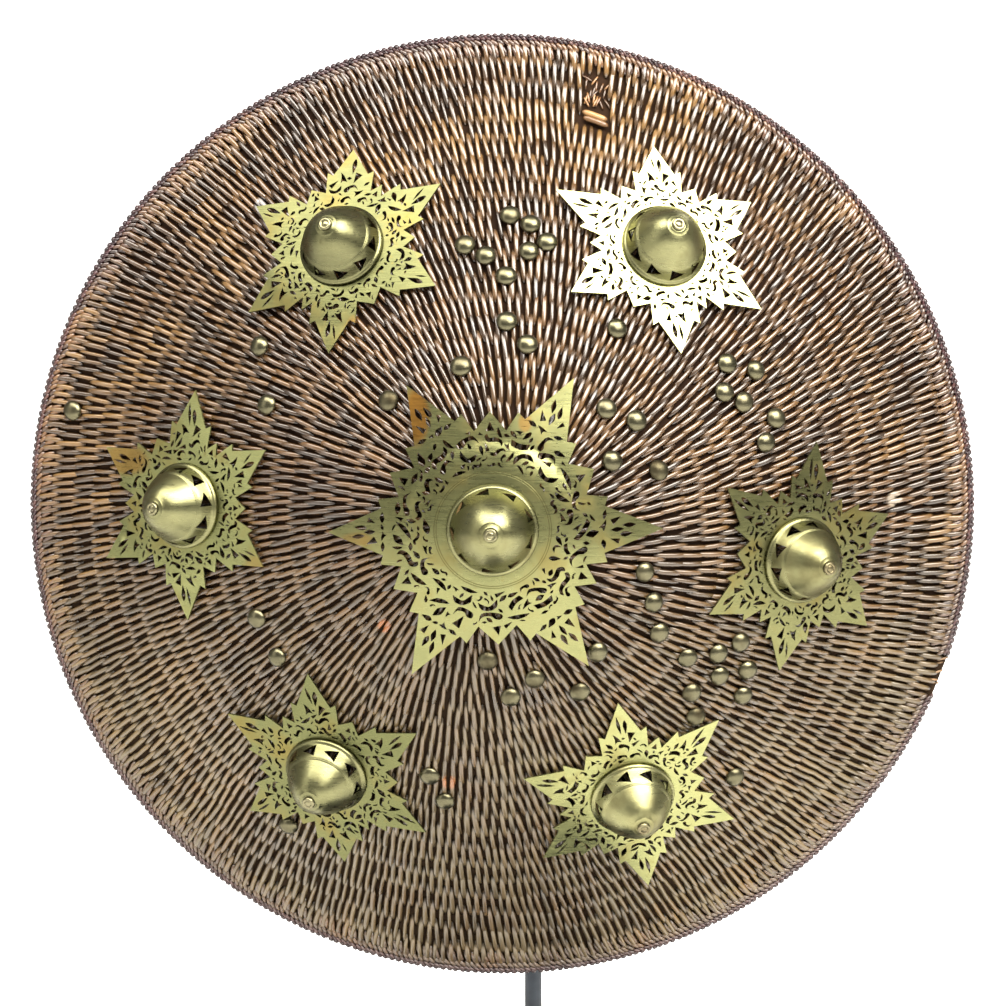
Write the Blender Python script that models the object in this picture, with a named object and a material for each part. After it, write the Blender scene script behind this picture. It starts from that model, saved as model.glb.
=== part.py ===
# Round shield of coiled rattan with seven pierced brass stars, on its steel rod stand.
# Metres, +Z up. The shield's face looks along -Y.
# The origin is the middle of the stand foot's underside.

import math

import bmesh
import bpy
from mathutils import Matrix, Vector
from mathutils.geometry import interpolate_bezier

# Shield body
SHIELD_RADIUS = 0.331
SHIELD_SIDE_SHIFT = -0.023
RIM_CLEARANCE = 0.105
DOME_SLOPES = ((0.0, 0.0), (0.2, 17.0), (0.4, 26.0), (0.67, 31.0), (0.78, 32.0), (0.9, 22.0), (1.0, 12.0))
DOME_STEPS = 240
SHELL_THICKNESS = 0.010
COIL_PITCH = 0.015
COIL_RELIEF = 0.0016
PLAIN_CENTRE_RADIUS = 0.090
BACK_RINGS = 9
AROUND_SHIELD = 28
RIM_WIDTH = 0.012
RIM_PROUD = 0.0012
RIM_CHAMFER = 0.0038

# Fits
TOUCH_GAP = 0.0004
BACK_GAP = 0.0011
PLATE_LIFT = 0.0012
ROD_FIT = 0.0004

# Pierced stars: an outline is the tip, notch, barb, valley and tooth of one sector, as shares of
# the star's own tip radius and degrees from the main point's axis. A wedge hole is the base, tip
# and half width of a three-sided hole, as shares of the same radius, and the scroll cuts run between
# two more such shares.
SMALL_STAR_RADIUS = 0.078
CENTRE_STAR_RADIUS = 0.112
STAR_POINTS = 6
STAR_THICKNESS = 0.0012
SMALL_STAR_OUTLINE = ((1.0, 0.0), (0.71, 13.0), (0.75, 16.5), (0.56, 21.5), (0.655, 30.0))
CENTRE_STAR_OUTLINE = ((1.0, 0.0), (0.67, 12.0), (0.70, 16.0), (0.585, 20.5), (0.69, 30.0))
SMALL_STAR_WEDGE = (0.64, 0.86, 0.075)
CENTRE_STAR_WEDGES = ((0.755, 0.87, 0.040), (0.61, 0.735, 0.075))
CENTRE_STAR_TOOTH_WEDGE = (0.595, 0.645, 0.035)
STAR_BORE_RADIUS = 0.0235
SMALL_STAR_FOLLOW = 0.6
CENTRE_STAR_FOLLOW = 0.86
CENTRE_STAR_SCROLLS = (0.41, 0.535)
SCROLLS = 12
SCROLL_SHARE = 0.62
SCROLL_OUTER_LEAD = 0.5
SCROLL_INNER_TRAIL = 0.3

# Bell bosses, all from one pattern: radius and height up the outer side
BOSS_FLANGE_RADIUS = 0.0292
BOSS_FLANGE_HEIGHT = 0.0024
BOSS_WALL_RADIUS = 0.0274
BOSS_SHOULDER_RADIUS = 0.0228
BOSS_SHOULDER_HEIGHT = 0.0150
BOSS_CROWN_RADIUS = 0.0147
BOSS_CROWN_HEIGHT = 0.0262
BOSS_NECK_RADIUS = 0.0062
BOSS_HEIGHT = 0.0340
BOSS_WALL = 0.0012
BOSS_SIDES = 10
BOSS_WINDOWS = 10
CENTRE_BOSS_WINDOWS = 9
WINDOW_BASE_HEIGHT = 0.0042
WINDOW_TIP_HEIGHT = 0.0125
WINDOW_WIDTH = 0.0094
RIVET_RADIUS = 0.0045
RIVET_HEIGHT = 0.0022

# Dome-headed nails; a head's shoulder is a share of its radius and of its height
NAIL_RADIUS = 0.0070
NAIL_HEIGHT = 0.0042
NAIL_LIFT = 0.0006
NAIL_SIDES = 6
HEAD_SHOULDER = 0.72

# Grips of bent rattan inside the dome
GRIP_SPAN = 0.120
GRIP_OFFSET = 0.080
GRIP_ROD_RADIUS = 0.0065
GRIP_FINGER_ROOM = 0.045
GRIP_FOOT_RUN = 0.022
GRIP_FOOT_PULL = 0.6
GRIP_KNEE = 0.85
GRIP_BAR_START = 0.35
GRIP_BEND_STEPS = 5

# Stand
ROD_RADIUS = 0.006
ROD_SET_BACK = 0.062
ROD_BEHIND_RIM = 0.002
FOOT_WIDTH = 0.240
FOOT_DEPTH = 0.240
FOOT_THICKNESS = 0.010
FOOT_BEVEL = 0.002
SOCKET_RADIUS = 0.013
SOCKET_HEIGHT = 0.022
SOCKET_FLOOR = 0.004
ROD_ABOVE_HOOK = 0.020
CLAMP_SIZE = 0.024
CLAMP_HEIGHT = 0.022
ARM_WIDTH = 0.010
ARM_HEIGHT = 0.010
HOOK_TIP_RISE = 0.011
HOOK_TIP_LENGTH = 0.006
PROP_DROP = 0.235
PROP_PAD_RADIUS = 0.016
PROP_PAD_THICKNESS = 0.006
ROUND_SIDES = 16

# Faces that meet at less than this many degrees are shaded as one
SMOOTH_ROUND = 80
SMOOTH_TURNED = 45
SMOOTH_PLATE = 30

# Places on the shield's face, right of and above its middle as shares of its radius, from the front.
# A star's third value is its turn in degrees from having a tooth point straight at the rim.
CENTRE_STAR_TURN = 31.0
STAR_PLACES = {
    "upper_left": (-0.314, 0.553, 2.5),
    "upper_right": (0.338, 0.553, 2.5),
    "left": (-0.640, 0.024, 2.0),
    "right": (0.619, -0.082, -2.0),
    "lower_left": (-0.350, -0.529, 6.0),
    "lower_right": (0.278, -0.574, 15.0),
}
NAIL_PLACES = (
    (0.027, 0.619), (-0.063, 0.559), (0.066, 0.547), (0.021, 0.498), (0.024, 0.408), (-0.066, 0.320),
    (-0.211, 0.251), (-0.483, 0.353), (-0.465, 0.236), (-0.897, 0.208), (0.245, 0.393), (0.468, 0.320),
    (0.502, 0.242), (0.568, 0.208), (0.224, 0.236), (0.236, 0.133), (0.329, 0.112), (0.302, -0.091),
    (0.332, -0.218), (0.390, -0.275), (0.498, -0.248), (0.514, -0.308), (0.399, -0.350),
    (0.208, -0.254), (0.082, -0.308), (0.172, -0.338), (-0.012, -0.269), (0.492, -0.544),
    (-0.489, -0.202), (-0.136, -0.526), (-0.441, -0.659),
)

# Colour, roughness and metallic value of each finish
FINISHES = {
    "rattan": ((0.13, 0.06, 0.035, 1.0), 0.42, 0.0),
    "rim_rattan": ((0.055, 0.028, 0.028, 1.0), 0.50, 0.0),
    "star_brass": ((0.62, 0.56, 0.25, 1.0), 0.36, 1.0),
    "boss_brass": ((0.58, 0.52, 0.22, 1.0), 0.28, 1.0),
    "nail_brass": ((0.36, 0.33, 0.20, 1.0), 0.34, 1.0),
    "grip_rattan": ((0.20, 0.10, 0.05, 1.0), 0.48, 0.0),
    "stand_steel": ((0.045, 0.055, 0.075, 1.0), 0.45, 0.0),
}


def between(value, table_in, table_out):
    """Straight-line reading of one column of a table by another, both rising with the index."""
    for low in range(len(table_in) - 1):
        if value <= table_in[low + 1] or low == len(table_in) - 2:
            span = table_in[low + 1] - table_in[low]
            share = (value - table_in[low]) / span
            return table_out[low] + share * (table_out[low + 1] - table_out[low])


def slope_at(radius):
    """Angle in radians between the face and the rim's plane."""
    shares = [share for share, _ in DOME_SLOPES]
    slopes = [slope for _, slope in DOME_SLOPES]
    return math.radians(between(radius / SHIELD_RADIUS, shares, slopes))


def dome_table():
    """Radius, height before the rim's plane and length of arc from the middle, step by step."""
    step = SHIELD_RADIUS / DOME_STEPS
    radii = [step * i for i in range(DOME_STEPS + 1)]
    slopes = [slope_at(radius + step / 2) for radius in radii[:-1]]
    heights = [0.0]
    for slope in reversed(slopes):
        heights.insert(0, heights[0] + step * math.tan(slope))
    arcs = [0.0]
    for slope in slopes:
        arcs.append(arcs[-1] + step / math.cos(slope))
    return radii, heights, arcs


DOME_RADII, DOME_HEIGHTS, DOME_ARCS = dome_table()
RIM_BACK = SHELL_THICKNESS + RIM_PROUD
SHIELD_CENTRE = Vector((SHIELD_SIDE_SHIFT, ROD_SET_BACK - ROD_RADIUS - ROD_BEHIND_RIM - RIM_BACK,
                        RIM_CLEARANCE + SHIELD_RADIUS))


def height_at(radius):
    return between(radius, DOME_RADII, DOME_HEIGHTS)


def section_point(arc, lift):
    """Radius and height of a point on the dome's section, lifted off the face along its normal."""
    radius = between(arc, DOME_ARCS, DOME_RADII)
    slope = slope_at(radius)
    return radius + lift * math.sin(slope), height_at(radius) + lift * math.cos(slope)


def face_normal(x, z):
    radius = math.hypot(x, z)
    if radius == 0.0:
        return Vector((0.0, -1.0, 0.0))
    slope = slope_at(radius)
    outward = math.sin(slope) / radius
    return Vector((x * outward, -math.cos(slope), z * outward))


def on_face(x, z, lift=0.0):
    """World place of a point of the face, from its place right of and above the middle."""
    point = Vector((x, -height_at(math.hypot(x, z)), z))
    return SHIELD_CENTRE + point + face_normal(x, z) * lift


def face_place(right, up):
    return SHIELD_RADIUS * right, SHIELD_RADIUS * up


def material(name):
    found = bpy.data.materials.get(name)
    if found:
        return found
    colour, roughness, metallic = FINISHES[name]
    made = bpy.data.materials.new(name)
    made.use_nodes = True
    made.diffuse_color = colour
    shader = made.node_tree.nodes["Principled BSDF"]
    shader.inputs["Base Color"].default_value = colour
    shader.inputs["Roughness"].default_value = roughness
    shader.inputs["Metallic"].default_value = metallic
    return made


def add_object(name, mesh, finish):
    obj = bpy.data.objects.new(name, mesh)
    obj.data.materials.clear()
    obj.data.materials.append(material(finish))
    bpy.context.scene.collection.objects.link(obj)
    return obj


def mesh_from(bm, name, smooth_degrees=None):
    bmesh.ops.recalc_face_normals(bm, faces=bm.faces)
    if bm.calc_volume(signed=True) < 0:
        bmesh.ops.reverse_faces(bm, faces=bm.faces)
    mesh = bpy.data.meshes.new(name)
    bm.to_mesh(mesh)
    bm.free()
    if smooth_degrees is not None:
        mesh.shade_smooth()
        mesh.set_sharp_from_angle(angle=math.radians(smooth_degrees))
    return mesh


def turned(profile, sides):
    """Closed body turned about Z from a closed run of (radius, height) points."""
    bm = bmesh.new()
    verts = [bm.verts.new((radius, 0.0, height)) for radius, height in profile]
    edges = [bm.edges.new((verts[i], verts[i + 1])) for i in range(len(verts) - 1)]
    on_axis = profile[0][0] == 0.0 and profile[-1][0] == 0.0
    if not on_axis:
        edges.append(bm.edges.new((verts[-1], verts[0])))
    bmesh.ops.spin(bm, geom=verts + edges, cent=(0, 0, 0), axis=(0, 0, 1), angle=math.tau,
                   steps=sides, use_merge=True)
    bmesh.ops.remove_doubles(bm, verts=bm.verts, dist=1e-6)
    return bm


def face_matrix(place):
    """Turns a body turned about Z so that Z points out of the shield's face."""
    return Matrix.Translation(place) @ Matrix.Rotation(math.pi / 2, 4, "X")


def standing_on(place, normal):
    return Matrix.Translation(place) @ Vector((0, 0, 1)).rotation_difference(normal).to_matrix().to_4x4()


def apply_matrix(mesh, matrix):
    mesh.transform(matrix)
    return mesh


# Rattan body

def shell_arc_end():
    return DOME_ARCS[-1] - RIM_WIDTH - TOUCH_GAP


def build_shell():
    start, end = PLAIN_CENTRE_RADIUS, shell_arc_end()
    rows = round((end - start) / COIL_PITCH)
    pitch = (end - start) / rows
    front = [(0.0, height_at(0.0)), section_point(start / 2, 0.0)]
    for row in range(rows):
        front.append(section_point(start + pitch * row, -COIL_RELIEF))
        front.append(section_point(start + pitch * (row + 0.5), 0.0))
    front.append(section_point(end, -COIL_RELIEF))
    back = [section_point(end * (BACK_RINGS - i) / BACK_RINGS, -SHELL_THICKNESS) for i in range(BACK_RINGS)]
    back.append((0.0, height_at(0.0) - SHELL_THICKNESS))
    mesh = mesh_from(turned(front + back, AROUND_SHIELD), "shell", SMOOTH_ROUND)
    add_object("shell", apply_matrix(mesh, face_matrix(SHIELD_CENTRE)), "rattan")


def build_rim():
    edge = DOME_ARCS[-1]
    inner, outer = edge - RIM_WIDTH, edge
    top, bottom = RIM_PROUD, -RIM_BACK
    outline = ((inner, bottom), (outer - RIM_CHAMFER, bottom), (outer, bottom + RIM_CHAMFER),
               (outer, top - RIM_CHAMFER), (outer - RIM_CHAMFER, top), (inner, top))
    profile = [section_point(arc, lift) for arc, lift in outline]
    mesh = mesh_from(turned(profile, AROUND_SHIELD), "rim", SMOOTH_TURNED)
    add_object("rim_binding", apply_matrix(mesh, face_matrix(SHIELD_CENTRE)), "rim_rattan")


# Brass stars

def ring_point(radius, degrees):
    angle = math.radians(degrees)
    return radius * math.cos(angle), radius * math.sin(angle)


def star_outline(tip_radius, sector):
    """All round the star: one sector's points, mirrored about each main point's axis."""
    points = []
    pitch = 360 / STAR_POINTS
    for main in range(STAR_POINTS):
        axis = pitch * (main + 0.5)
        for share, degrees in reversed(sector[1:-1]):
            points.append(ring_point(tip_radius * share, axis - degrees))
        for share, degrees in sector:
            points.append(ring_point(tip_radius * share, axis + degrees))
    return points


def scroll_slots():
    """Four-sided slots in a ring, each a stretch of the scroll band."""
    half = 180 / SCROLLS * SCROLL_SHARE
    inner, outer = (CENTRE_STAR_RADIUS * share for share in CENTRE_STAR_SCROLLS)
    slots = []
    for i in range(SCROLLS):
        axis = 360 / SCROLLS * (i + 0.5)
        slots.append([ring_point(inner, axis - half),
                      ring_point(outer, axis - half * SCROLL_OUTER_LEAD),
                      ring_point(outer, axis + half),
                      ring_point(inner, axis + half * SCROLL_INNER_TRAIL)])
    return slots


def wedge(tip_radius, axis, shares):
    """Three-sided hole on a ray from the star's middle, with its tip outwards."""
    base, tip, half_width = (tip_radius * share for share in shares)
    half = math.degrees(math.atan2(half_width, base))
    return [ring_point(tip, axis), ring_point(base, axis - half), ring_point(base, axis + half)]


def small_star_holes():
    pitch = 360 / STAR_POINTS
    return [wedge(SMALL_STAR_RADIUS, pitch * (i + 0.5), SMALL_STAR_WEDGE) for i in range(STAR_POINTS)]


def centre_star_holes():
    pitch = 360 / STAR_POINTS
    holes = []
    for i in range(STAR_POINTS):
        axis = pitch * (i + 0.5)
        for shares in CENTRE_STAR_WEDGES:
            holes.append(wedge(CENTRE_STAR_RADIUS, axis, shares))
        holes.append(wedge(CENTRE_STAR_RADIUS, axis + pitch / 2, CENTRE_STAR_TOOTH_WEDGE))
    return holes + scroll_slots()


def star_axes(place):
    """Directions down the dome, along the row and out of the face, where a star sits."""
    normal = face_normal(*place)
    along = Vector((-place[1], 0.0, place[0]))
    along = along.normalized() if along.length > 0 else Vector((0.0, 0.0, 1.0))
    return along.cross(normal), along, normal


def drape(point, place, axes, follow, flat_radius):
    """Bends a flat plate's point part of the way down to the dome, outside its flat middle."""
    down, along, normal = axes
    flat = on_face(*place) + down * point.x + along * point.y
    local = flat - SHIELD_CENTRE
    radius = math.hypot(local.x, local.z)
    drop = (-local.y - height_at(radius)) * math.cos(slope_at(radius))
    away = math.hypot(point.x, point.y)
    share = min(max((away - flat_radius) / flat_radius, 0.0), 1.0)
    sink = follow * drop * share if drop > 0 else drop
    return flat + normal * (PLATE_LIFT - sink + point.z)


def build_star(name, place, turn, tip_radius, sector, holes, follow):
    bm = bmesh.new()
    bore = [ring_point(STAR_BORE_RADIUS, 360 / BOSS_SIDES * i) for i in range(BOSS_SIDES)]
    for loop in [star_outline(tip_radius, sector), bore] + holes:
        verts = [bm.verts.new((x, y, 0.0)) for x, y in loop]
        for i, vert in enumerate(verts):
            bm.edges.new((vert, verts[i - 1]))
    bmesh.ops.triangle_fill(bm, use_beauty=True, use_dissolve=False, edges=bm.edges, normal=(0, 0, 1))
    raised = bmesh.ops.extrude_face_region(bm, geom=bm.faces)["geom"]
    top = [item for item in raised if isinstance(item, bmesh.types.BMVert)]
    bmesh.ops.translate(bm, verts=top, vec=(0.0, 0.0, STAR_THICKNESS))
    axes = star_axes(place)
    turned_plate = Matrix.Rotation(math.radians(turn), 3, "Z")
    for vert in bm.verts:
        vert.co = drape(turned_plate @ vert.co, place, axes, follow, BOSS_FLANGE_RADIUS)
    add_object(name, mesh_from(bm, name, SMOOTH_PLATE), "star_brass")


def seat_of_boss(place):
    normal = face_normal(*place)
    return on_face(*place) + normal * (PLATE_LIFT + STAR_THICKNESS + TOUCH_GAP), normal


# Bell bosses

def window_cutters(count):
    """One body of three-sided prisms that points out from the boss's axis in a ring."""
    bm = bmesh.new()
    reach = (BOSS_CROWN_RADIUS, BOSS_FLANGE_RADIUS + BOSS_WALL)
    half = WINDOW_WIDTH / 2
    for i in range(count):
        turn = Matrix.Rotation(math.tau * (i + 0.5) / count, 3, "Z")
        rings = []
        for radius in reach:
            corners = ((radius, -half, WINDOW_BASE_HEIGHT), (radius, half, WINDOW_BASE_HEIGHT),
                       (radius, 0.0, WINDOW_TIP_HEIGHT))
            rings.append([bm.verts.new(turn @ Vector(corner)) for corner in corners])
        near, far = rings
        bm.faces.new(near)
        bm.faces.new(far)
        for a in range(3):
            bm.faces.new((near[a - 1], near[a], far[a], far[a - 1]))
    return mesh_from(bm, "window_cutters")


def boss_profile():
    """From the crown's outside down to the flange, and back up the inside."""
    wall = BOSS_WALL
    return [(0.0, BOSS_HEIGHT), (BOSS_NECK_RADIUS, BOSS_HEIGHT), (BOSS_CROWN_RADIUS, BOSS_CROWN_HEIGHT),
            (BOSS_SHOULDER_RADIUS, BOSS_SHOULDER_HEIGHT), (BOSS_WALL_RADIUS, BOSS_FLANGE_HEIGHT + wall),
            (BOSS_FLANGE_RADIUS, BOSS_FLANGE_HEIGHT), (BOSS_FLANGE_RADIUS, 0.0),
            (BOSS_WALL_RADIUS - wall, 0.0), (BOSS_SHOULDER_RADIUS - wall, BOSS_SHOULDER_HEIGHT - wall),
            (BOSS_CROWN_RADIUS - wall, BOSS_CROWN_HEIGHT - wall), (0.0, BOSS_HEIGHT - wall)]


def boss_mesh(windows):
    bm = turned(boss_profile(), BOSS_SIDES)
    body = bpy.data.objects.new("boss_body", mesh_from(bm, "boss_body"))
    cutter = bpy.data.objects.new("boss_cutter", window_cutters(windows))
    for obj in (body, cutter):
        bpy.context.scene.collection.objects.link(obj)
    cut = body.modifiers.new("windows", "BOOLEAN")
    cut.operation = "DIFFERENCE"
    cut.solver = "EXACT"
    cut.object = cutter
    ready = body.evaluated_get(bpy.context.evaluated_depsgraph_get())
    mesh = bpy.data.meshes.new_from_object(ready)
    for obj in (body, cutter):
        bpy.data.objects.remove(obj)
    mesh.shade_smooth()
    mesh.set_sharp_from_angle(angle=math.radians(SMOOTH_TURNED))
    return mesh


def dome_head(radius, height):
    """Low round head with a flat underside."""
    shoulder = (radius * HEAD_SHOULDER, height * HEAD_SHOULDER)
    return turned([(0.0, height), shoulder, (radius, 0.0), (0.0, 0.0)], NAIL_SIDES)


def build_boss(name, place, windows):
    seat, normal = seat_of_boss(place)
    boss = add_object("boss_" + name, boss_mesh(windows), "boss_brass")
    boss.matrix_world = standing_on(seat, normal)
    head = mesh_from(dome_head(RIVET_RADIUS, RIVET_HEIGHT), "rivet", SMOOTH_ROUND)
    rivet = add_object("boss_rivet_" + name, head, "nail_brass")
    rivet.matrix_world = standing_on(seat + normal * (BOSS_HEIGHT + TOUCH_GAP), normal)


def build_nails():
    mesh = mesh_from(dome_head(NAIL_RADIUS, NAIL_HEIGHT), "nail", SMOOTH_ROUND)
    for number, (right, up) in enumerate(NAIL_PLACES, 1):
        place = face_place(right, up)
        nail = add_object(f"nail_{number:02d}", mesh, "nail_brass")
        nail.matrix_world = standing_on(on_face(*place, NAIL_LIFT), face_normal(*place))


# Grips

def grip_bar_depth():
    """Distance of a grip's bar before the rim's plane."""
    return height_at(GRIP_OFFSET) - SHELL_THICKNESS - GRIP_FINGER_ROOM - GRIP_ROD_RADIUS


def grip_points(z):
    """Up from one foot on the shell's back, along the bar, and down to the other foot."""
    x = GRIP_SPAN / 2
    normal = face_normal(x, z)
    foot = on_face(x, z, -SHELL_THICKNESS - BACK_GAP)
    run = foot - normal * GRIP_FOOT_RUN
    bar_start = SHIELD_CENTRE + Vector((x * GRIP_BAR_START, -grip_bar_depth(), z))
    knee = SHIELD_CENTRE + Vector((x * GRIP_KNEE, -grip_bar_depth(), z))
    pull = run - normal * GRIP_FOOT_RUN * GRIP_FOOT_PULL
    bend = interpolate_bezier(run, pull, knee, bar_start, GRIP_BEND_STEPS)
    half = [foot] + list(bend)
    axis = SHIELD_CENTRE.x
    other = [Vector((2 * axis - point.x, point.y, point.z)) for point in reversed(half)]
    return half + other


def build_grip(name, z):
    curve = bpy.data.curves.new(name, "CURVE")
    curve.dimensions = "3D"
    curve.bevel_depth = GRIP_ROD_RADIUS
    curve.bevel_resolution = 2
    curve.use_fill_caps = True
    points = grip_points(z)
    spline = curve.splines.new("POLY")
    spline.points.add(len(points) - 1)
    for spot, point in zip(spline.points, points):
        spot.co = (*point, 1.0)
    spline.use_smooth = True
    add_object(name, curve, "grip_rattan")


# Stand

def box_mesh(low, high):
    bm = bmesh.new()
    low, high = Vector(low), Vector(high)
    bmesh.ops.create_cube(bm, size=1.0, matrix=Matrix.LocRotScale((low + high) / 2, None, high - low))
    return bm


def rod_mesh(radius, low, high, axis_place):
    bm = bmesh.new()
    centre = (axis_place[0], axis_place[1], (low + high) / 2)
    bmesh.ops.create_cone(bm, cap_ends=True, segments=ROUND_SIDES, radius1=radius, radius2=radius,
                          depth=high - low, matrix=Matrix.Translation(centre))
    return bm


def cutter_object(name, bm):
    cutter = bpy.data.objects.new(name, mesh_from(bm, name))
    cutter.hide_render = True
    cutter.display_type = "WIRE"
    bpy.context.scene.collection.objects.link(cutter)
    return cutter


def combine(target, other, operation):
    modifier = target.modifiers.new(operation.lower(), "BOOLEAN")
    modifier.operation = operation
    modifier.solver = "EXACT"
    modifier.object = other


def rod_axis():
    return 0.0, ROD_SET_BACK


def build_foot():
    half_width, half_depth = FOOT_WIDTH / 2, FOOT_DEPTH / 2
    bm = box_mesh((-half_width, -half_depth, 0.0), (half_width, half_depth, FOOT_THICKNESS))
    bmesh.ops.bevel(bm, geom=bm.edges, offset=FOOT_BEVEL, segments=1, profile=0.5, affect="EDGES")
    foot = add_object("stand_foot", mesh_from(bm, "stand_foot", SMOOTH_PLATE), "stand_steel")
    socket_top = FOOT_THICKNESS + SOCKET_HEIGHT
    socket = rod_mesh(SOCKET_RADIUS, FOOT_THICKNESS / 2, socket_top, rod_axis())
    combine(foot, cutter_object("foot_socket", socket), "UNION")
    bore = rod_mesh(ROD_RADIUS + ROD_FIT, SOCKET_FLOOR, socket_top + SOCKET_HEIGHT, rod_axis())
    combine(foot, cutter_object("foot_bore", bore), "DIFFERENCE")


def hook_floor():
    """Height of the hook arm's top, under the upper grip's bar."""
    return SHIELD_CENTRE.z + GRIP_OFFSET - GRIP_ROD_RADIUS - TOUCH_GAP


def rod_top():
    return hook_floor() + ROD_ABOVE_HOOK


def build_rod():
    bm = rod_mesh(ROD_RADIUS, SOCKET_FLOOR + ROD_FIT, rod_top(), rod_axis())
    add_object("stand_rod", mesh_from(bm, "stand_rod", SMOOTH_TURNED), "stand_steel")


def side_plate(outline, width):
    """Flat bar cut to an outline of (y, z) points and centred on the rod's axis."""
    bm = bmesh.new()
    verts = [bm.verts.new((-width / 2, y, z)) for y, z in outline]
    face = bm.faces.new(verts)
    raised = bmesh.ops.extrude_face_region(bm, geom=[face])["geom"]
    moved = [item for item in raised if isinstance(item, bmesh.types.BMVert)]
    bmesh.ops.translate(bm, verts=moved, vec=(width, 0.0, 0.0))
    return bm


def build_arm(name, outline, clamp_middle, pad=None):
    """Clamp block round the rod with a flat arm that reaches into the dome."""
    x, y = rod_axis()
    half = CLAMP_SIZE / 2
    low, high = clamp_middle - CLAMP_HEIGHT / 2, clamp_middle + CLAMP_HEIGHT / 2
    block = box_mesh((x - half, y - half, low), (x + half, y + half, high))
    arm = add_object(name, mesh_from(block, name, SMOOTH_PLATE), "stand_steel")
    combine(arm, cutter_object(name + "_bar", side_plate(outline, ARM_WIDTH)), "UNION")
    if pad:
        combine(arm, cutter_object(name + "_pad", pad), "UNION")
    bore = rod_mesh(ROD_RADIUS + ROD_FIT, low - half, high + half, (x, y))
    combine(arm, cutter_object(name + "_bore", bore), "DIFFERENCE")


def build_hook():
    top = hook_floor()
    back = rod_axis()[1]
    bar_front = SHIELD_CENTRE.y - grip_bar_depth() - GRIP_ROD_RADIUS - TOUCH_GAP
    tip = bar_front - HOOK_TIP_LENGTH
    outline = ((back, top - ARM_HEIGHT), (tip, top - ARM_HEIGHT), (tip, top + HOOK_TIP_RISE),
               (bar_front, top + HOOK_TIP_RISE), (bar_front, top), (back, top))
    build_arm("stand_hook", outline, top - ARM_HEIGHT / 2)


def build_prop():
    """Arm with a round pad that the shell's back leans on, near its lower edge."""
    x = -SHIELD_SIDE_SHIFT
    z = -PROP_DROP
    normal = face_normal(x, z)
    seat = on_face(x, z, -SHELL_THICKNESS - BACK_GAP)
    pad_back = seat - normal * PROP_PAD_THICKNESS
    back = rod_axis()[1]
    half = ARM_HEIGHT / 2
    reach = pad_back.y + PROP_PAD_THICKNESS / 2
    outline = ((back, pad_back.z - half), (reach - half, pad_back.z - half),
               (reach - half, pad_back.z + half), (back, pad_back.z + half))
    pad = bmesh.new()
    middle = (seat + pad_back) / 2
    bmesh.ops.create_cone(pad, cap_ends=True, segments=ROUND_SIDES, radius1=PROP_PAD_RADIUS,
                          radius2=PROP_PAD_RADIUS, depth=PROP_PAD_THICKNESS,
                          matrix=standing_on(middle, normal))
    build_arm("stand_prop", outline, pad_back.z, pad)


def main():
    for obj in list(bpy.data.objects):
        bpy.data.objects.remove(obj)
    build_shell()
    build_rim()
    centre = (0.0, 0.0)
    build_star("star_centre", centre, CENTRE_STAR_TURN, CENTRE_STAR_RADIUS, CENTRE_STAR_OUTLINE,
               centre_star_holes(), CENTRE_STAR_FOLLOW)
    build_boss("centre", centre, CENTRE_BOSS_WINDOWS)
    for name, (right, up, turn) in STAR_PLACES.items():
        place = face_place(right, up)
        build_star("star_" + name, place, turn, SMALL_STAR_RADIUS, SMALL_STAR_OUTLINE,
                   small_star_holes(), SMALL_STAR_FOLLOW)
        build_boss(name, place, BOSS_WINDOWS)
    build_nails()
    build_grip("grip_upper", GRIP_OFFSET)
    build_grip("grip_lower", -GRIP_OFFSET)
    build_foot()
    build_rod()
    build_hook()
    build_prop()


main()
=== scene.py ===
import math
import random

import bmesh
import bpy
import numpy as np
from mathutils import Matrix, Vector, noise
from mathutils.geometry import interpolate_bezier


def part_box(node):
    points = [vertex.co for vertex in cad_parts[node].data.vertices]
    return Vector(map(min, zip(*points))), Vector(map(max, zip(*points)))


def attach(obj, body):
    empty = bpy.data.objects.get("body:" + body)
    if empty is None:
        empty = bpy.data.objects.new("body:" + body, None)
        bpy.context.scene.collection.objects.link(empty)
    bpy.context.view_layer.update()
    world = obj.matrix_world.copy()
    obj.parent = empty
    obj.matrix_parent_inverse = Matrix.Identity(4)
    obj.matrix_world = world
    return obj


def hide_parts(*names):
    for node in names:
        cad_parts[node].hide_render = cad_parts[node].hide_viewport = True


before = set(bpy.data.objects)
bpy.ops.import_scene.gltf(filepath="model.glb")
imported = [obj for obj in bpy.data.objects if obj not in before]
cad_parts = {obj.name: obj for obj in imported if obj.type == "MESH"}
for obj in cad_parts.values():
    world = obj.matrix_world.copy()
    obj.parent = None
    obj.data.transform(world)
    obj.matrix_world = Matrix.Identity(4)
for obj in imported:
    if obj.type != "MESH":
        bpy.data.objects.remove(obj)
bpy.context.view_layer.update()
print("frame loaded:", len(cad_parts), "nodes")

# The dome: slopes are pairs of share of the radius and degrees from the rim's plane
shield = {
    "radius": 0.331,
    "slopes": ((0, 0), (0.2, 17), (0.4, 26), (0.67, 31), (0.78, 32), (0.9, 22), (1, 12)),
    "steps": 240,
    "thickness": 0.0100,
    "plateLift": 0.0012,
    "plate": 0.0012,
    "touch": 0.0004,
}
slopeShares, slopeDegrees = zip(*shield["slopes"])
radii = np.linspace(0, shield["radius"], shield["steps"] + 1)
stepShares = (radii[:-1] + radii[1:]) / 2 / shield["radius"]
stepSlopes = np.radians(np.interp(stepShares, slopeShares, slopeDegrees))
heights = np.append(np.cumsum((radii[1] * np.tan(stepSlopes))[::-1])[::-1], 0)
arcs = np.insert(np.cumsum(radii[1] / np.cos(stepSlopes)), 0, 0)
rimLow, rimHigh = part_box("rim_binding")
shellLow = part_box("shell")[0]
middle = Vector(((rimLow.x + rimHigh.x) / 2, shellLow.y + heights[0], (rimLow.z + rimHigh.z) / 2))


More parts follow.
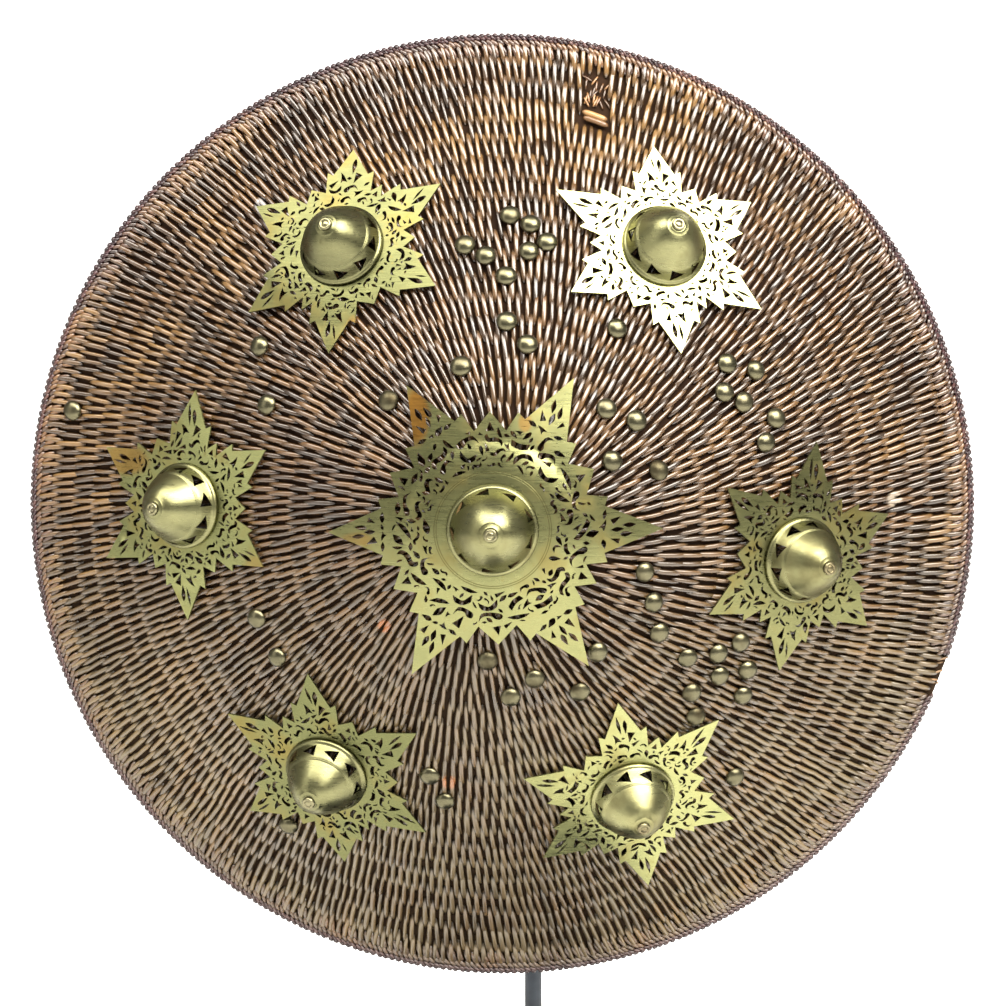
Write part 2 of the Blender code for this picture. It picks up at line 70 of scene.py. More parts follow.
def slopeAt(radius):
    return math.radians(np.interp(radius / shield["radius"], slopeShares, slopeDegrees))


def heightAt(radius):
    return float(np.interp(radius, radii, heights))


def arcAt(radius):
    return float(np.interp(radius, radii, arcs))


def radiusAt(arc):
    return float(np.interp(arc, arcs, radii))


def domeFrame(arc, angle, lift):
    # X runs down the dome, Y along the row and Z out of the face
    radius = radiusAt(arc)
    slope = slopeAt(radius)
    ring = Vector((math.cos(angle), 0, math.sin(angle)))
    down = ring * math.cos(slope) + Vector((0, math.sin(slope), 0))
    out = ring * math.sin(slope) - Vector((0, math.cos(slope), 0))
    along = out.cross(down)
    place = middle + ring * radius - Vector((0, heightAt(radius), 0)) + out * lift
    turn = Matrix((down, along, out)).transposed().to_4x4()
    return Matrix.Translation(place) @ turn


def faceFrame(right, up, lift=0.0):
    # The same axes at a place given in metres right of and above the middle
    return domeFrame(arcAt(math.hypot(right, up)), math.atan2(up, right), lift)


def meshOf(bm, name):
    mesh = bpy.data.meshes.new(name)
    bm.to_mesh(mesh)
    bm.free()
    return mesh


def spun(degrees, axis="Z"):
    return Matrix.Rotation(math.radians(degrees), 4, axis)


def added(name, data):
    made = bpy.data.objects.new(name, data)
    bpy.context.scene.collection.objects.link(made)
    return made


def finished(name, bm, material, nodes=(), smooth=40):
    return dressed(name, meshOf(bm, name), material, nodes, smooth)


def dressed(name, mesh, material, nodes=(), smooth=40):
    # A piece of the visual model; smooth is the angle in degrees below which edges look round
    mesh.materials.clear()
    mesh.materials.append(material)
    mesh.shade_smooth()
    if smooth:
        mesh.set_sharp_from_angle(angle=math.radians(smooth))
    piece = added(name, mesh)
    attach(piece, "root")
    if nodes:
        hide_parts(*nodes)
    return piece


def turnedShape(profile, steps):
    # Spins (radius, height) points about Z; the first and last point lie on the axis or meet
    bm = bmesh.new()
    verts = [bm.verts.new((radius, 0, height)) for radius, height in profile]
    for a, b in zip(verts, verts[1:]):
        bm.edges.new((a, b))
    if profile[0][0] > 0:
        bm.edges.new((verts[-1], verts[0]))
    bmesh.ops.spin(bm, geom=bm.verts[:] + bm.edges[:], cent=(0, 0, 0), axis=(0, 0, 1), angle=math.tau,
                   steps=steps, use_merge=True)
    bmesh.ops.remove_doubles(bm, verts=bm.verts, dist=1e-6)
    outwards(bm)
    return bm


def outwards(bm):
    bmesh.ops.recalc_face_normals(bm, faces=bm.faces)
    if bm.calc_volume(signed=True) < 0:
        bmesh.ops.reverse_faces(bm, faces=bm.faces)


# Shader building
def addNode(tree, kind, settings=None, values=None):
    node = tree.nodes.new(kind)
    for key, value in (settings or {}).items():
        setattr(node, key, value)
    for key, value in (values or {}).items():
        if hasattr(value, "is_output"):
            tree.links.new(value, node.inputs[key])
        else:
            node.inputs[key].default_value = value
    return node


def maths(tree, operation, a, b=0.0, clamp=False):
    settings = {"operation": operation, "use_clamp": clamp}
    return addNode(tree, "ShaderNodeMath", settings, {0: a, 1: b}).outputs[0]


def times(tree, a, b, clamp=False):
    return maths(tree, "MULTIPLY", a, b, clamp)


def plus(tree, a, b, clamp=False):
    return maths(tree, "ADD", a, b, clamp)


def vectors(tree, operation, a, b=(0, 0, 0), output="Vector"):
    return addNode(tree, "ShaderNodeVectorMath", {"operation": operation}, {0: a, 1: b}).outputs[output]


def objectPlace(tree):
    return addNode(tree, "ShaderNodeTexCoord").outputs["Object"]


def moved(tree, where, **values):
    return addNode(tree, "ShaderNodeMapping", None, {"Vector": where, **values}).outputs[0]


def marked(tree, name):
    return addNode(tree, "ShaderNodeAttribute", {"attribute_name": name}).outputs["Fac"]


def stripPlace(tree):
    return addNode(tree, "ShaderNodeUVMap", {"uv_map": "strip"}).outputs[0]


def bumped(tree, sockets, strength, distance, height):
    values = {"Strength": strength, "Distance": distance, "Height": height}
    tree.links.new(addNode(tree, "ShaderNodeBump", None, values).outputs[0], sockets["Normal"])


def blend(tree, amount, a, b, kind="MIX"):
    return addNode(tree, "ShaderNodeMix", {"data_type": "RGBA", "blend_type": kind},
                   {"Factor": amount, "A": a, "B": b}).outputs["Result"]


def mapped(tree, value, low, high, toLow=0.0, toHigh=1.0):
    return addNode(tree, "ShaderNodeMapRange", {"interpolation_type": "SMOOTHSTEP"},
                   {"Value": value, "From Min": low, "From Max": high, "To Min": toLow,
                    "To Max": toHigh}).outputs["Result"]


def speckle(tree, where, scale, detail=3.0, rough=0.55):
    return addNode(tree, "ShaderNodeTexNoise", None,
                   {"Vector": where, "Scale": scale, "Detail": detail, "Roughness": rough}).outputs["Fac"]


def newGroup(name, inputs, outputs):
    tree = bpy.data.node_groups.new(name, "ShaderNodeTree")
    for label, kind, value in inputs:
        made = tree.interface.new_socket(label, in_out="INPUT", socket_type="NodeSocket" + kind)
        made.default_value = value
    for label, kind in outputs:
        tree.interface.new_socket(label, in_out="OUTPUT", socket_type="NodeSocket" + kind)
    return tree, addNode(tree, "NodeGroupInput").outputs, addNode(tree, "NodeGroupOutput").inputs


def colour(red, green, blue):
    # Screen colour of 0 to 255 as a linear colour
    def line(part):
        share = part / 255
        return share / 12.92 if share <= 0.04045 else ((share + 0.055) / 1.055) ** 2.4
    return (line(red), line(green), line(blue), 1.0)


def finish(name, roughness, metallic, coat=0.0, coatRoughness=0.2):
    material = bpy.data.materials.new(name)
    material.use_nodes = True
    shader = material.node_tree.nodes["Principled BSDF"]
    shader.inputs["Roughness"].default_value = roughness
    shader.inputs["Metallic"].default_value = metallic
    shader.inputs["Coat Weight"].default_value = coat
    shader.inputs["Coat Roughness"].default_value = coatRoughness
    return material, material.node_tree, shader.inputs


def placeIn(tree, group, values):
    return addNode(tree, "ShaderNodeGroup", {"node_tree": group}, values).outputs


# Cane: painted shade on the strips' ends where they dive under the next row, fibre lines along the strip,
# golden regions over the shield and a painted floor sheen, greyer towards the bottom
cane = {
    "dark": colour(32, 22, 14),
    "red": colour(86, 60, 31),
    "gold": colour(110, 82, 44),
    # painted sheen of the pale floor, laid greyer over the lower part of the shield
    "sheen": colour(104, 90, 60),
    "goldFrom": 0.17,
    "goldTo": 0.30,
    "sheenFrom": 0.04,
    "sheenTo": -0.20,
    "coatRoughness": 0.24,
    "spots": ((-0.032, -0.179, 0.006, colour(176, 98, 40)), (-0.073, -0.067, 0.005, colour(170, 92, 36)),
              (0.164, 0.208, 0.007, colour(190, 178, 164)), (0.272, 0.010, 0.006, colour(188, 176, 158)),
              (-0.163, 0.212, 0.005, colour(186, 188, 190))),
}


def patchAt(tree, local, right, up, wide, high):
    # Soft-edged mask of an oval patch, from a place measured from the shield's middle
    off = vectors(tree, "SUBTRACT", local, (right, 0, up))
    off = vectors(tree, "MULTIPLY", off, (1 / wide, 0, 1 / high))
    return mapped(tree, vectors(tree, "LENGTH", off, output="Value"), 0.6, 1.1, 1.0, 0.0)


def caneGroup():
    tree, given, made = newGroup("caneFinish", (
        ("Tone", "Float", 0.5), ("Along", "Float", 0.5), ("Around", "Float", 0.5), ("Spots", "Float", 0.4),
        *((name, "Color", cane[name.lower()]) for name in ("Red", "Gold", "Sheen", "Dark"))),
        (("Colour", "Color"), ("Roughness", "Float"), ("Height", "Float")))
    local = moved(tree, objectPlace(tree), Location=-middle)
    flat = vectors(tree, "MULTIPLY", local, (1, 0, 1))
    radius = vectors(tree, "LENGTH", flat, output="Value")
    up = addNode(tree, "ShaderNodeSeparateXYZ", None, {0: local}).outputs["Z"]
    patches = speckle(tree, local, 9.0, 2.0)
    blotches = speckle(tree, local, 42.0, 2.0)
    outer = mapped(tree, radius, cane["goldFrom"], cane["goldTo"])
    goldShare = times(tree, plus(tree, outer, 0.25), mapped(tree, patches, 0.42, 0.66))
    goldShare = times(tree, goldShare, mapped(tree, given["Tone"], 0.2, 0.9, 0.1, 1.1), True)
    # painted floor sheen: the strips turn greyer towards the bottom, in blotches
    low = mapped(tree, times(tree, up, -1.0), -cane["sheenFrom"], -cane["sheenTo"])
    sheenShare = times(tree, low, mapped(tree, blotches, 0.3, 0.65, 0.3, 0.8), True)
    body = blend(tree, mapped(tree, given["Tone"], 0.0, 1.0, 0.1, 1.0), given["Dark"], given["Red"])
    body = blend(tree, goldShare, body, given["Gold"])
    body = blend(tree, sheenShare, body, given["Sheen"])
    # fibre lines follow the strip: stretched noise, moved on by each strip's own tone
    stretched = addNode(tree, "ShaderNodeCombineXYZ", None, {
        "X": times(tree, given["Along"], 1.6), "Y": times(tree, given["Around"], 26.0),
        "Z": times(tree, given["Tone"], 91.0)}).outputs[0]
    fibres = speckle(tree, stretched, 1.0, 3.0, 0.7)
    body = blend(tree, mapped(tree, fibres, 0.35, 0.65, 0.0, 0.45), body,
                 blend(tree, 1.0, body, (0.55, 0.5, 0.5, 1), "MULTIPLY"))
    # the ends dive between the next row's strips: painted shade darkens them towards the dark tint there
    endShade = maths(tree, "ABSOLUTE", maths(tree, "SUBTRACT", times(tree, given["Along"], 2.0), 1.0))
    body = blend(tree, mapped(tree, endShade, 0.55, 1.0, 0.0, 0.8), body, given["Dark"])
    for right, up, size, tint in cane["spots"]:
        spot = times(tree, patchAt(tree, local, right, up, size, size), given["Spots"])
        body = blend(tree, spot, body, tint)
    tree.links.new(body, made["Colour"])
    worn = times(tree, blotches, 0.25)
    matt = times(tree, low, 0.10)
    rough = plus(tree, plus(tree, 0.10, worn), matt)
    tree.links.new(rough, made["Roughness"])
    tree.links.new(fibres, made["Height"])
    return tree


caneFinish = caneGroup()


def caneMaterial(name, coat, tints, striped=True):
    # A striped cane takes each strip's tone and the places along and round it from the mesh
    material, tree, sockets = finish(name, 0.35, 0.0, coat, cane["coatRoughness"])
    tints = {key: colour(*tint) if isinstance(tint, tuple) else tint for key, tint in tints.items()}
    if striped:
        strip = addNode(tree, "ShaderNodeSeparateXYZ", None, {0: stripPlace(tree)}).outputs
        tints = {"Tone": marked(tree, "tone"), "Along": strip["X"], "Around": strip["Y"], **tints}
    made = placeIn(tree, caneFinish, tints)
    tree.links.new(made["Colour"], sockets["Base Color"])
    tree.links.new(made["Roughness"], sockets["Roughness"])
    bumped(tree, sockets, 0.25, 0.0004, made["Height"])
    return material


stitchCane = caneMaterial("stitchCane", 0.8, {})
backCane = caneMaterial("backCane", 0.15, {
    "Red": (104, 70, 44), "Gold": (136, 98, 60), "Sheen": (104, 76, 56), "Spots": 0.0})
edgeCane = caneMaterial("edgeCane", 0.25, {
    "Dark": (30, 17, 22), "Red": (74, 48, 50), "Gold": (88, 60, 54), "Sheen": (96, 80, 76)})
braidCane = caneMaterial("braidCane", 0.5, {
    "Dark": (28, 17, 15), "Red": (84, 62, 50), "Gold": (106, 76, 48), "Sheen": (100, 86, 70)})
# The core shows in the gaps between stitches: its darkened tints and low fixed tone are painted shade there,
# over the cane's own colour
shadedCoreCane = caneMaterial("shadedCoreCane", 0.0, {
    "Dark": (34, 25, 20), "Red": (60, 43, 32), "Gold": (66, 49, 33), "Sheen": (60, 49, 38), "Spots": 0.0,
    "Tone": 0.2}, False)
shadedCoreCane.node_tree.nodes["Principled BSDF"].inputs["Specular IOR Level"].default_value = 0.0
gripCane = caneMaterial("gripCane", 0.25, {"Red": (140, 92, 52), "Gold": (178, 124, 66)})
bareCane = caneMaterial("bareCane", 0.1, {
    "Dark": (84, 58, 34), "Red": (134, 98, 60), "Gold": (150, 114, 70), "Sheen": (132, 106, 74)})
print("cane finishes ready")


# Brass: cut edges stay bright, brown patina gathers in patches
brass = {
    "line": colour(70, 62, 30),
    "stain": colour(150, 98, 32),
    "inside": colour(44, 35, 20),
    "unitsPerMetre": 10,  # of the plates' flat coordinates
}


def brassGroup():
    tree, given, made = newGroup("brassFinish", (
        ("Metal", "Color", colour(182, 181, 122)), ("Patina", "Color", colour(118, 100, 48)),
        ("Film", "Color", colour(158, 160, 106)), ("Patina Amount", "Float", 0.4), ("Bright", "Float", 0.0)),
        (("Colour", "Color"), ("Roughness", "Float"), ("Height", "Float")))
    where = objectPlace(tree)
    clouds = speckle(tree, where, 34.0, 4.0)
    spots = speckle(tree, where, 210.0, 3.0)
    scuffs = speckle(tree, moved(tree, where, Scale=(90, 90, 900)), 1.0, 2.0)
    stained = times(tree, mapped(tree, clouds, 0.48, 0.72), given["Patina Amount"])
    stained = plus(tree, stained, times(tree, mapped(tree, spots, 0.62, 0.78), 0.35), True)
    stained = times(tree, stained, maths(tree, "SUBTRACT", 1.0, given["Bright"]))
    body = blend(tree, mapped(tree, clouds, 0.3, 0.6, 0.55, 0.0), given["Metal"], given["Film"])
    body = blend(tree, stained, body, given["Patina"])
    tree.links.new(body, made["Colour"])
    rough = plus(tree, times(tree, scuffs, 0.22), times(tree, stained, 0.22))
    tree.links.new(plus(tree, rough, 0.18), made["Roughness"])
    tree.links.new(plus(tree, scuffs, times(tree, clouds, 2.0)), made["Height"])
    return tree


brassFinish = brassGroup()


def brassMaterial(name, tints, cutEdges=False, turned=False, ring=0.0, stains=()):
    material, tree, sockets = finish(name, 0.3, 1.0)
    if cutEdges:
        tints = {"Bright": marked(tree, "cutEdge"), **tints}
    made = placeIn(tree, brassFinish, tints)
    tree.links.new(made["Roughness"], sockets["Roughness"])
    tinted, height = made["Colour"], made["Height"]
    if ring:
        line = engravedLine(tree, ring)
        tinted = blend(tree, times(tree, line, 0.6), tinted, brass["line"])
        height = maths(tree, "SUBTRACT", height, times(tree, line, 6.0))
    for right, up, wide, high, amount in stains:
        local = moved(tree, objectPlace(tree), Location=-middle)
        share = times(tree, patchAt(tree, local, right, up, wide, high), amount)
        tinted = blend(tree, share, tinted, brass["stain"])
    if turned:
        lathe = moved(tree, stripPlace(tree), Scale=(0.6, 130, 1))
        height = plus(tree, height, times(tree, speckle(tree, lathe, 1.0, 2.0), 2.4))
        tinted = blend(tree, marked(tree, "inside"), tinted, brass["inside"])
    tree.links.new(tinted, sockets["Base Color"])
    bumped(tree, sockets, 0.16, 0.0003, height)
    return material


def engravedLine(tree, ring):
    # Mask of two fine lines side by side round the plate's middle, from its flat coordinates
    flat = vectors(tree, "SUBTRACT", stripPlace(tree), (0.5, 0.5, 0))
    away = vectors(tree, "LENGTH", flat, output="Value")
    off = maths(tree, "ABSOLUTE", maths(tree, "SUBTRACT", away, ring * brass["unitsPerMetre"]))
    off = maths(tree, "ABSOLUTE", maths(tree, "SUBTRACT", off, 0.007))
    return mapped(tree, off, 0.0015, 0.0040, 1.0, 0.0)


nailBrass = brassMaterial("nailBrass", {"Metal": colour(100, 96, 75), "Patina": colour(50, 43, 30),
                                        "Film": colour(78, 75, 59), "Patina Amount": 0.9})
rivetBrass = brassMaterial("rivetBrass", {"Metal": colour(128, 124, 96), "Patina": colour(98, 84, 60),
                                          "Film": colour(112, 106, 82), "Patina Amount": 0.6})


# Woven surface: split-cane stitches over coiled rows, each row's stitches between those of its neighbours
weave = {
    "rows": 23,
    "pitch": 0.0150,
    "lastRow": 0.3497,
    "spacing": 0.0056,
    "evenness": 0.25,
    "length": 0.0256,
    "width": 0.0034,
    "thick": 0.0021,
    "dive": 0.0031,
    "lift": -0.0009,
    "slant": 8.0,
    "lastLength": 0.80,
    "lastShift": 0.0024,
    "seed": 4,
    "frontParts": 3,
    "frontSides": 6,
    "frontStations": 8,
    "backSides": 4,
    "backStations": 5,
}
# Places where stitches are gone: metres right of and above the middle, then half width and half height
gaps = ((0.067, 0.291, 0.008, 0.013), (0.065, 0.271, 0.009, 0.008))


def stitchShape(sides, stations, spec):
    # Split cane strip along X, pointed at the ends, which dip down
    bm = bmesh.new()
    bmesh.ops.create_uvsphere(bm, u_segments=sides, v_segments=stations, radius=1.0,
                              matrix=spun(90, "Y"))
    strip = bm.loops.layers.uv.new("strip")
    for face in bm.faces:
        for loop in face.loops:
            place = loop.vert.co
            loop[strip].uv = (place.x / 2 + 0.5, place.y / 2 + 0.5)
    for vert in bm.verts:
        along = vert.co.x
        fuller = math.sqrt(1 + along ** 2 + along ** 4)  # flatter in the middle than an ellipse
        vert.co.z *= fuller * spec["thick"] / 2
        vert.co.z -= spec["dive"] * abs(along) ** 2.2
        vert.co.y *= fuller * spec["width"] / 2
        vert.co.x = along * spec["length"] / 2
    return meshOf(bm, "stitch")


def stamped(name, shape, places, tones, material, nodes=()):
    # One piece with a copy of the shape at each place, and a tone for each copy
    bm = bmesh.new()
    for place in places:
        copy = shape.copy()
        copy.transform(place)
        bm.from_mesh(copy)
        bpy.data.meshes.remove(copy)
    piece = finished(name, bm, material, nodes, None)
    tone = piece.data.attributes.new("tone", "FLOAT", "FACE")
    tone.data.foreach_set("value", np.repeat(tones, len(shape.polygons)))
    return piece


def rowAngles(previous, radius, dice):
    # Each stitch between two of the inner row's, with more put in where they would stand too far apart
    wanted = max(8, round(math.tau * radius / weave["spacing"]))
    if previous is None:
        return np.arange(wanted) / wanted * math.tau
    following = np.roll(previous, -1)
    following[-1] += math.tau
    angles = (previous + following) / 2 + weave["pitch"] * math.tan(math.radians(weave["slant"])) / radius
    extra = max(0, wanted - len(angles))
    if extra:
        sites = (np.arange(extra) + dice.random()) * len(angles) / extra + np.array(
            [dice.uniform(-2.5, 2.5) for _ in range(extra)])
        sites = np.unique(np.round(sites).astype(int) % len(angles))
        nextOnes = np.append(angles[1:], angles[0] + math.tau)
        angles = np.sort(np.append(angles, (angles[sites] + nextOnes[sites]) / 2))
    for _ in range(12):
        before, after = np.roll(angles, 1), np.roll(angles, -1)
        before[0] -= math.tau
        after[-1] += math.tau
        angles = angles * 0.5 + (before + after) * 0.25
    even = np.arange(len(angles)) / len(angles) * math.tau
    even += (angles - even).mean()
    return angles + (even - angles) * weave["evenness"]


def sway(angle, arc):
    # Rows wander a little, the whole field together
    share = min(1.0, max(0.0, (weave["lastRow"] - arc) / 0.05))
    return share * (0.0011 * math.sin(3 * angle + 9 * arc) + 0.0007 * math.sin(8 * angle - 21 * arc + 1.0))


def inGap(radius, angle):
    right, up = radius * math.cos(angle), radius * math.sin(angle)
    return any(abs(right - x) < wide and abs(up - z) < high for x, z, wide, high in gaps)


def weaveRows():
    dice = random.Random(weave["seed"])
    rows, angles = [], None
    for row in range(weave["rows"]):
        arc = weave["lastRow"] - weave["pitch"] * (weave["rows"] - 1 - row)
        radius = radiusAt(arc)
        angles = rowAngles(angles, radius, dice)
        rows.append((arc, radius, angles))
    return rows


def weaveSide(rows, back):
    # Places and tones of one side's stitches
    dice = random.Random(weave["seed"] + (50 if back else 0))
    flip = spun(180 if back else 0, "X")
    lift = -shield["thickness"] - weave["lift"] if back else weave["lift"]
    places, tones = [], []
    for arc, radius, angles in rows:
        rowTone = dice.uniform(-0.12, 0.12)
        for angle in angles:
            if not back and inGap(radius, angle):
                continue
            swayed = arc + sway(angle, arc) + dice.gauss(0, 0.0004)
            lean = weave["slant"] + dice.gauss(0, 2.2)
            size = [1 + dice.gauss(0, 0.05), 1 + dice.gauss(0, 0.10), 1 + dice.gauss(0, 0.08)]
            if arc == weave["lastRow"]:
                size[0] *= weave["lastLength"]
                swayed -= weave["lastShift"]
            bob = dice.gauss(0, 0.00015)
            base = domeFrame(swayed, angle + dice.gauss(0, 0.00022) / radius, lift + bob)
            places.append(base @ flip @ spun(-lean if back else lean) @ Matrix.Diagonal((*size, 1)))
            tones.append(min(1.0, max(0.0, 0.5 + rowTone + dice.gauss(0, 0.24))))
    return places, tones


# Sheet of cane under the stitches, ridged along the rows
core = {"around": 96, "perRow": 4, "crest": -0.0041, "valley": -0.0047, "edge": 0.0032, "hole": 0.004}


def coreProfile():
    # From the middle out along the front's ridges, round the edge and back along the back's
    count = weave["rows"] * core["perRow"]
    front, back = [], []
    start = weave["lastRow"] - weave["pitch"] * (weave["rows"] - 0.5)
    for k in range(count + 1):
        arc = start + weave["pitch"] * k / core["perRow"]
        if arc <= core["hole"]:
            continue
        ridge = abs(math.sin(math.pi * k / core["perRow"]))
        lift = core["valley"] + (core["crest"] - core["valley"]) * ridge
        radius = radiusAt(arc)
        slope = slopeAt(radius)
        for side, depth in ((front, lift), (back, -shield["thickness"] - lift)):
            side.append((radius + depth * math.sin(slope), heightAt(radius) + depth * math.cos(slope)))
    bulge = (shield["radius"] - core["edge"], (front[-1][1] + back[-1][1]) / 2)
    top = [(0.0, heights[0] + core["crest"])]
    under = [(0.0, heights[0] - shield["thickness"] - core["crest"])]
    return top + front + [bulge] + back[::-1] + under


rows = weaveRows()
frontPlaces, frontTones = weaveSide(rows, False)
backPlaces, backTones = weaveSide(rows, True)
frontStitch = stitchShape(weave["frontSides"], weave["frontStations"], weave)
backStitch = stitchShape(weave["backSides"], weave["backStations"], weave)
coreBody = turnedShape(coreProfile(), core["around"])
bmesh.ops.transform(coreBody, verts=coreBody.verts, matrix=Matrix.Translation(middle) @ spun(90, "X"))
finished("caneCore", coreBody, shadedCoreCane, ["shell"], 60)
for part in range(weave["frontParts"]):
    first, last = (len(frontPlaces) * k // weave["frontParts"] for k in (part, part + 1))
    stamped(f"weaveFront{part + 1}", frontStitch, frontPlaces[first:last], frontTones[first:last],
            stitchCane)
stamped("weaveBack", backStitch, backPlaces, backTones, backCane)
print("weave:", len(frontPlaces), "stitches in front")

# Border: wraps round the last coil, a braid of short strokes in front and a twisted strand on each corner
border = {
    "outside": 0.3290,
    "wrapSpacing": 0.0046,
    "wrap": {"length": 0.0120, "width": 0.0040, "thick": 0.0026, "dive": 0.0022},
    "twistSpacing": 0.0036,
    "twist": {"length": 0.0064, "width": 0.0026, "thick": 0.0030, "dive": 0.0004},
    "twistLean": 60.0,
    "twistArc": 0.3576,
    "frontLift": -0.0018,
    # rows of strokes: arc, lift, length, width, spacing and lean in degrees
    "braid": ((0.3488, -0.0012, 0.0105, 0.0028, 0.0044, 22.0),
              (0.3542, -0.0013, 0.0080, 0.0027, 0.0038, 48.0)),
    "stroke": {"thick": 0.0022, "dive": 0.0018},
    "notchFrom": -23.2,
    "notchTo": -18.0,
    "seed": 8,
}


def inNotch(angle):
    turned = (math.degrees(angle) + 180) % 360 - 180
    return border["notchFrom"] < turned < border["notchTo"]


def roundAngles(dice, spacing, jitter, broken=True):
    # Directions round the border, leaving out the broken place
    count = round(math.tau * border["outside"] / spacing)
    for k in range(count):
        angle = math.tau * (k + dice.uniform(-jitter, jitter)) / count
        if not (broken and inNotch(angle)):
            yield angle


def borderWraps(dice):
    places = []
    for angle in roundAngles(dice, border["wrapSpacing"], 0.1):
        place = domeFrame(arcAt(border["outside"]), angle, -shield["thickness"] / 2)
        places.append(place @ (spun(90, "Y") @ spun(dice.gauss(8, 4))))
    return places


def borderTwists(dice):
    places = []
    for lift, lean in ((border["frontLift"], 1), (-shield["thickness"] - border["frontLift"], -1)):
        for angle in roundAngles(dice, border["twistSpacing"], 0.12, lean > 0):
            place = domeFrame(border["twistArc"], angle, lift + dice.gauss(0, 0.00015))
            turn = spun(lean * border["twistLean"] + dice.gauss(0, 3))
            places.append(place @ spun(0 if lean > 0 else 180, "X") @ turn)
    return places


def borderPieces():
    dice = random.Random(border["seed"])
    wraps = borderWraps(dice)
    twists = borderTwists(dice)
    for number, (arc, lift, length, width, spacing, lean) in enumerate(border["braid"], 1):
        stroke = stitchShape(6, 6, {"length": length, "width": width, **border["stroke"]})
        places = []
        for angle in roundAngles(dice, spacing, 0.12):
            place = domeFrame(arc + dice.gauss(0, 0.0003), angle, lift)
            places.append(place @ spun(lean + dice.gauss(0, 4)))
        stamped(f"borderBraid{number}", stroke, places, [dice.uniform(0.2, 1.0) for _ in places],
                braidCane)
    stamped("borderWraps", stitchShape(6, 6, border["wrap"]), wraps,
            [dice.uniform(0.1, 0.8) for _ in wraps], edgeCane, ["rim_binding"])
    stamped("borderTwist", stitchShape(5, 5, border["twist"]), twists,
            [dice.uniform(0.1, 0.9) for _ in twists], edgeCane)


borderPieces()
print("border done")

# Damage: a short bare length of cane in the upper gap, with torn fibres there and at the broken edge
damage = {
    "bare": {"length": 0.0185, "width": 0.0044, "thick": 0.0036, "dive": 0.0006},
    "bareStrips": ((0.0655, 0.2728, 1.0), (0.0662, 0.2688, 0.0)),  # right, up and tone
    "bareTurn": 83,
    "fibre": {"length": 0.0090, "width": 0.0016, "thick": 0.0012, "dive": 0.0006},
    "gapFibres": 20,
    "edgeFibres": 18,
    "seed": 12,
}


def damagePieces():
    dice = random.Random(damage["seed"])
    bare = stitchShape(8, 8, damage["bare"])
    turn = spun(damage["bareTurn"])
    strips = damage["bareStrips"]
    stamped("bareStrips", bare, [faceFrame(right, up, -0.0006) @ turn for right, up, _ in strips],
            [tone for *_, tone in strips], bareCane)
    fibre = stitchShape(5, 5, damage["fibre"])
    places = []
    for _ in range(damage["gapFibres"]):
        right, up = gaps[0][0] + dice.uniform(-0.008, 0.008), gaps[0][1] + dice.uniform(-0.012, 0.010)
        base = faceFrame(right, up, dice.uniform(-0.0032, -0.0020))
        places.append(base @ Matrix.Rotation(dice.gauss(0, 0.5), 4, "Z"))
    stamped("gapFibres", fibre, places, [dice.uniform(0.0, 0.7) for _ in places], backCane)
    places = []
    for _ in range(damage["edgeFibres"]):
        angle = math.radians(dice.uniform(border["notchFrom"], border["notchTo"]))
        base = domeFrame(dice.uniform(0.3540, 0.3580), angle, dice.uniform(-0.0080, -0.0020))
        places.append(base @ Matrix.Rotation(dice.uniform(-0.7, 0.7), 4, "Z"))
    stamped("edgeFibres", fibre, places, [dice.uniform(0.2, 1.0) for _ in places], bareCane)


damagePieces()

# Grips: bent rods of cane behind the middle, their bars bound with a fine strip
grip = {
    "span": 0.120,
    "offset": 0.080,
    "radius": 0.0065,
    "fingerRoom": 0.045,
    "footGap": 0.0011,
    "footRun": 0.022,
    "footPull": 0.6,
    "knee": 0.85,
    "barStart": 0.35,
    "steps": 14,
    "sides": 20,
    "bindingRadius": 0.0072,
    "bindingWidth": 0.0031,
    "bindingFrom": -0.036,
    "bindingTurns": 24,
    "bindingProfile": ((0.0011, -1.0), (0.0003, -0.8), (0.0, 0.0), (0.0003, 0.8), (0.0011, 1.0)),
}


def gripLine(height):
    # One foot on the shell's back, the bend, the bar and the other foot
    side = grip["span"] / 2
    depth = heightAt(grip["offset"]) - shield["thickness"] - grip["fingerRoom"] - grip["radius"]
    seat = faceFrame(side, height, -shield["thickness"] - grip["footGap"])
    foot, normal = seat.translation, seat.col[2].xyz
    run = foot - normal * grip["footRun"]
    start, knee = (middle + Vector((side * grip[key], -depth, height)) for key in ("barStart", "knee"))
    half = [foot] + interpolate_bezier(run, run - normal * grip["footRun"] * grip["footPull"], knee, start,
                                       grip["steps"])
    return half + [Vector((2 * middle.x - point.x, point.y, point.z)) for point in reversed(half)]


def gripRod(name, points):
    bm = bmesh.new()
    frames = []
    for k, point in enumerate(points):
        along = points[min(k + 1, len(points) - 1)] - points[max(k - 1, 0)]
        frames.append(Matrix.Translation(point) @ along.to_track_quat("Z", "Y").to_matrix().to_4x4())
    ring = bmesh.ops.create_circle(bm, cap_ends=True, segments=grip["sides"], radius=grip["radius"],
                                   matrix=frames[0])["verts"]
    for before, after in zip(frames, frames[1:]):
        edges = {edge for vert in ring for edge in vert.link_edges if all(v in ring for v in edge.verts)}
        grown = bmesh.ops.extrude_edge_only(bm, edges=list(edges))["geom"]
        ring = [item for item in grown if isinstance(item, bmesh.types.BMVert)]
        bmesh.ops.transform(bm, verts=ring, matrix=after @ before.inverted())
    bmesh.ops.contextual_create(bm, geom=ring)
    outwards(bm)
    strip = bm.loops.layers.uv.new("strip")
    for face in bm.faces:
        for loop in face.loops:
            loop[strip].uv = (loop.vert.co.x * 8 + 0.5, math.atan2(loop.vert.co.z - points[0].z, 0.01) * 2)
    return finished(name + "Rod", bm, gripCane, [name], 50)


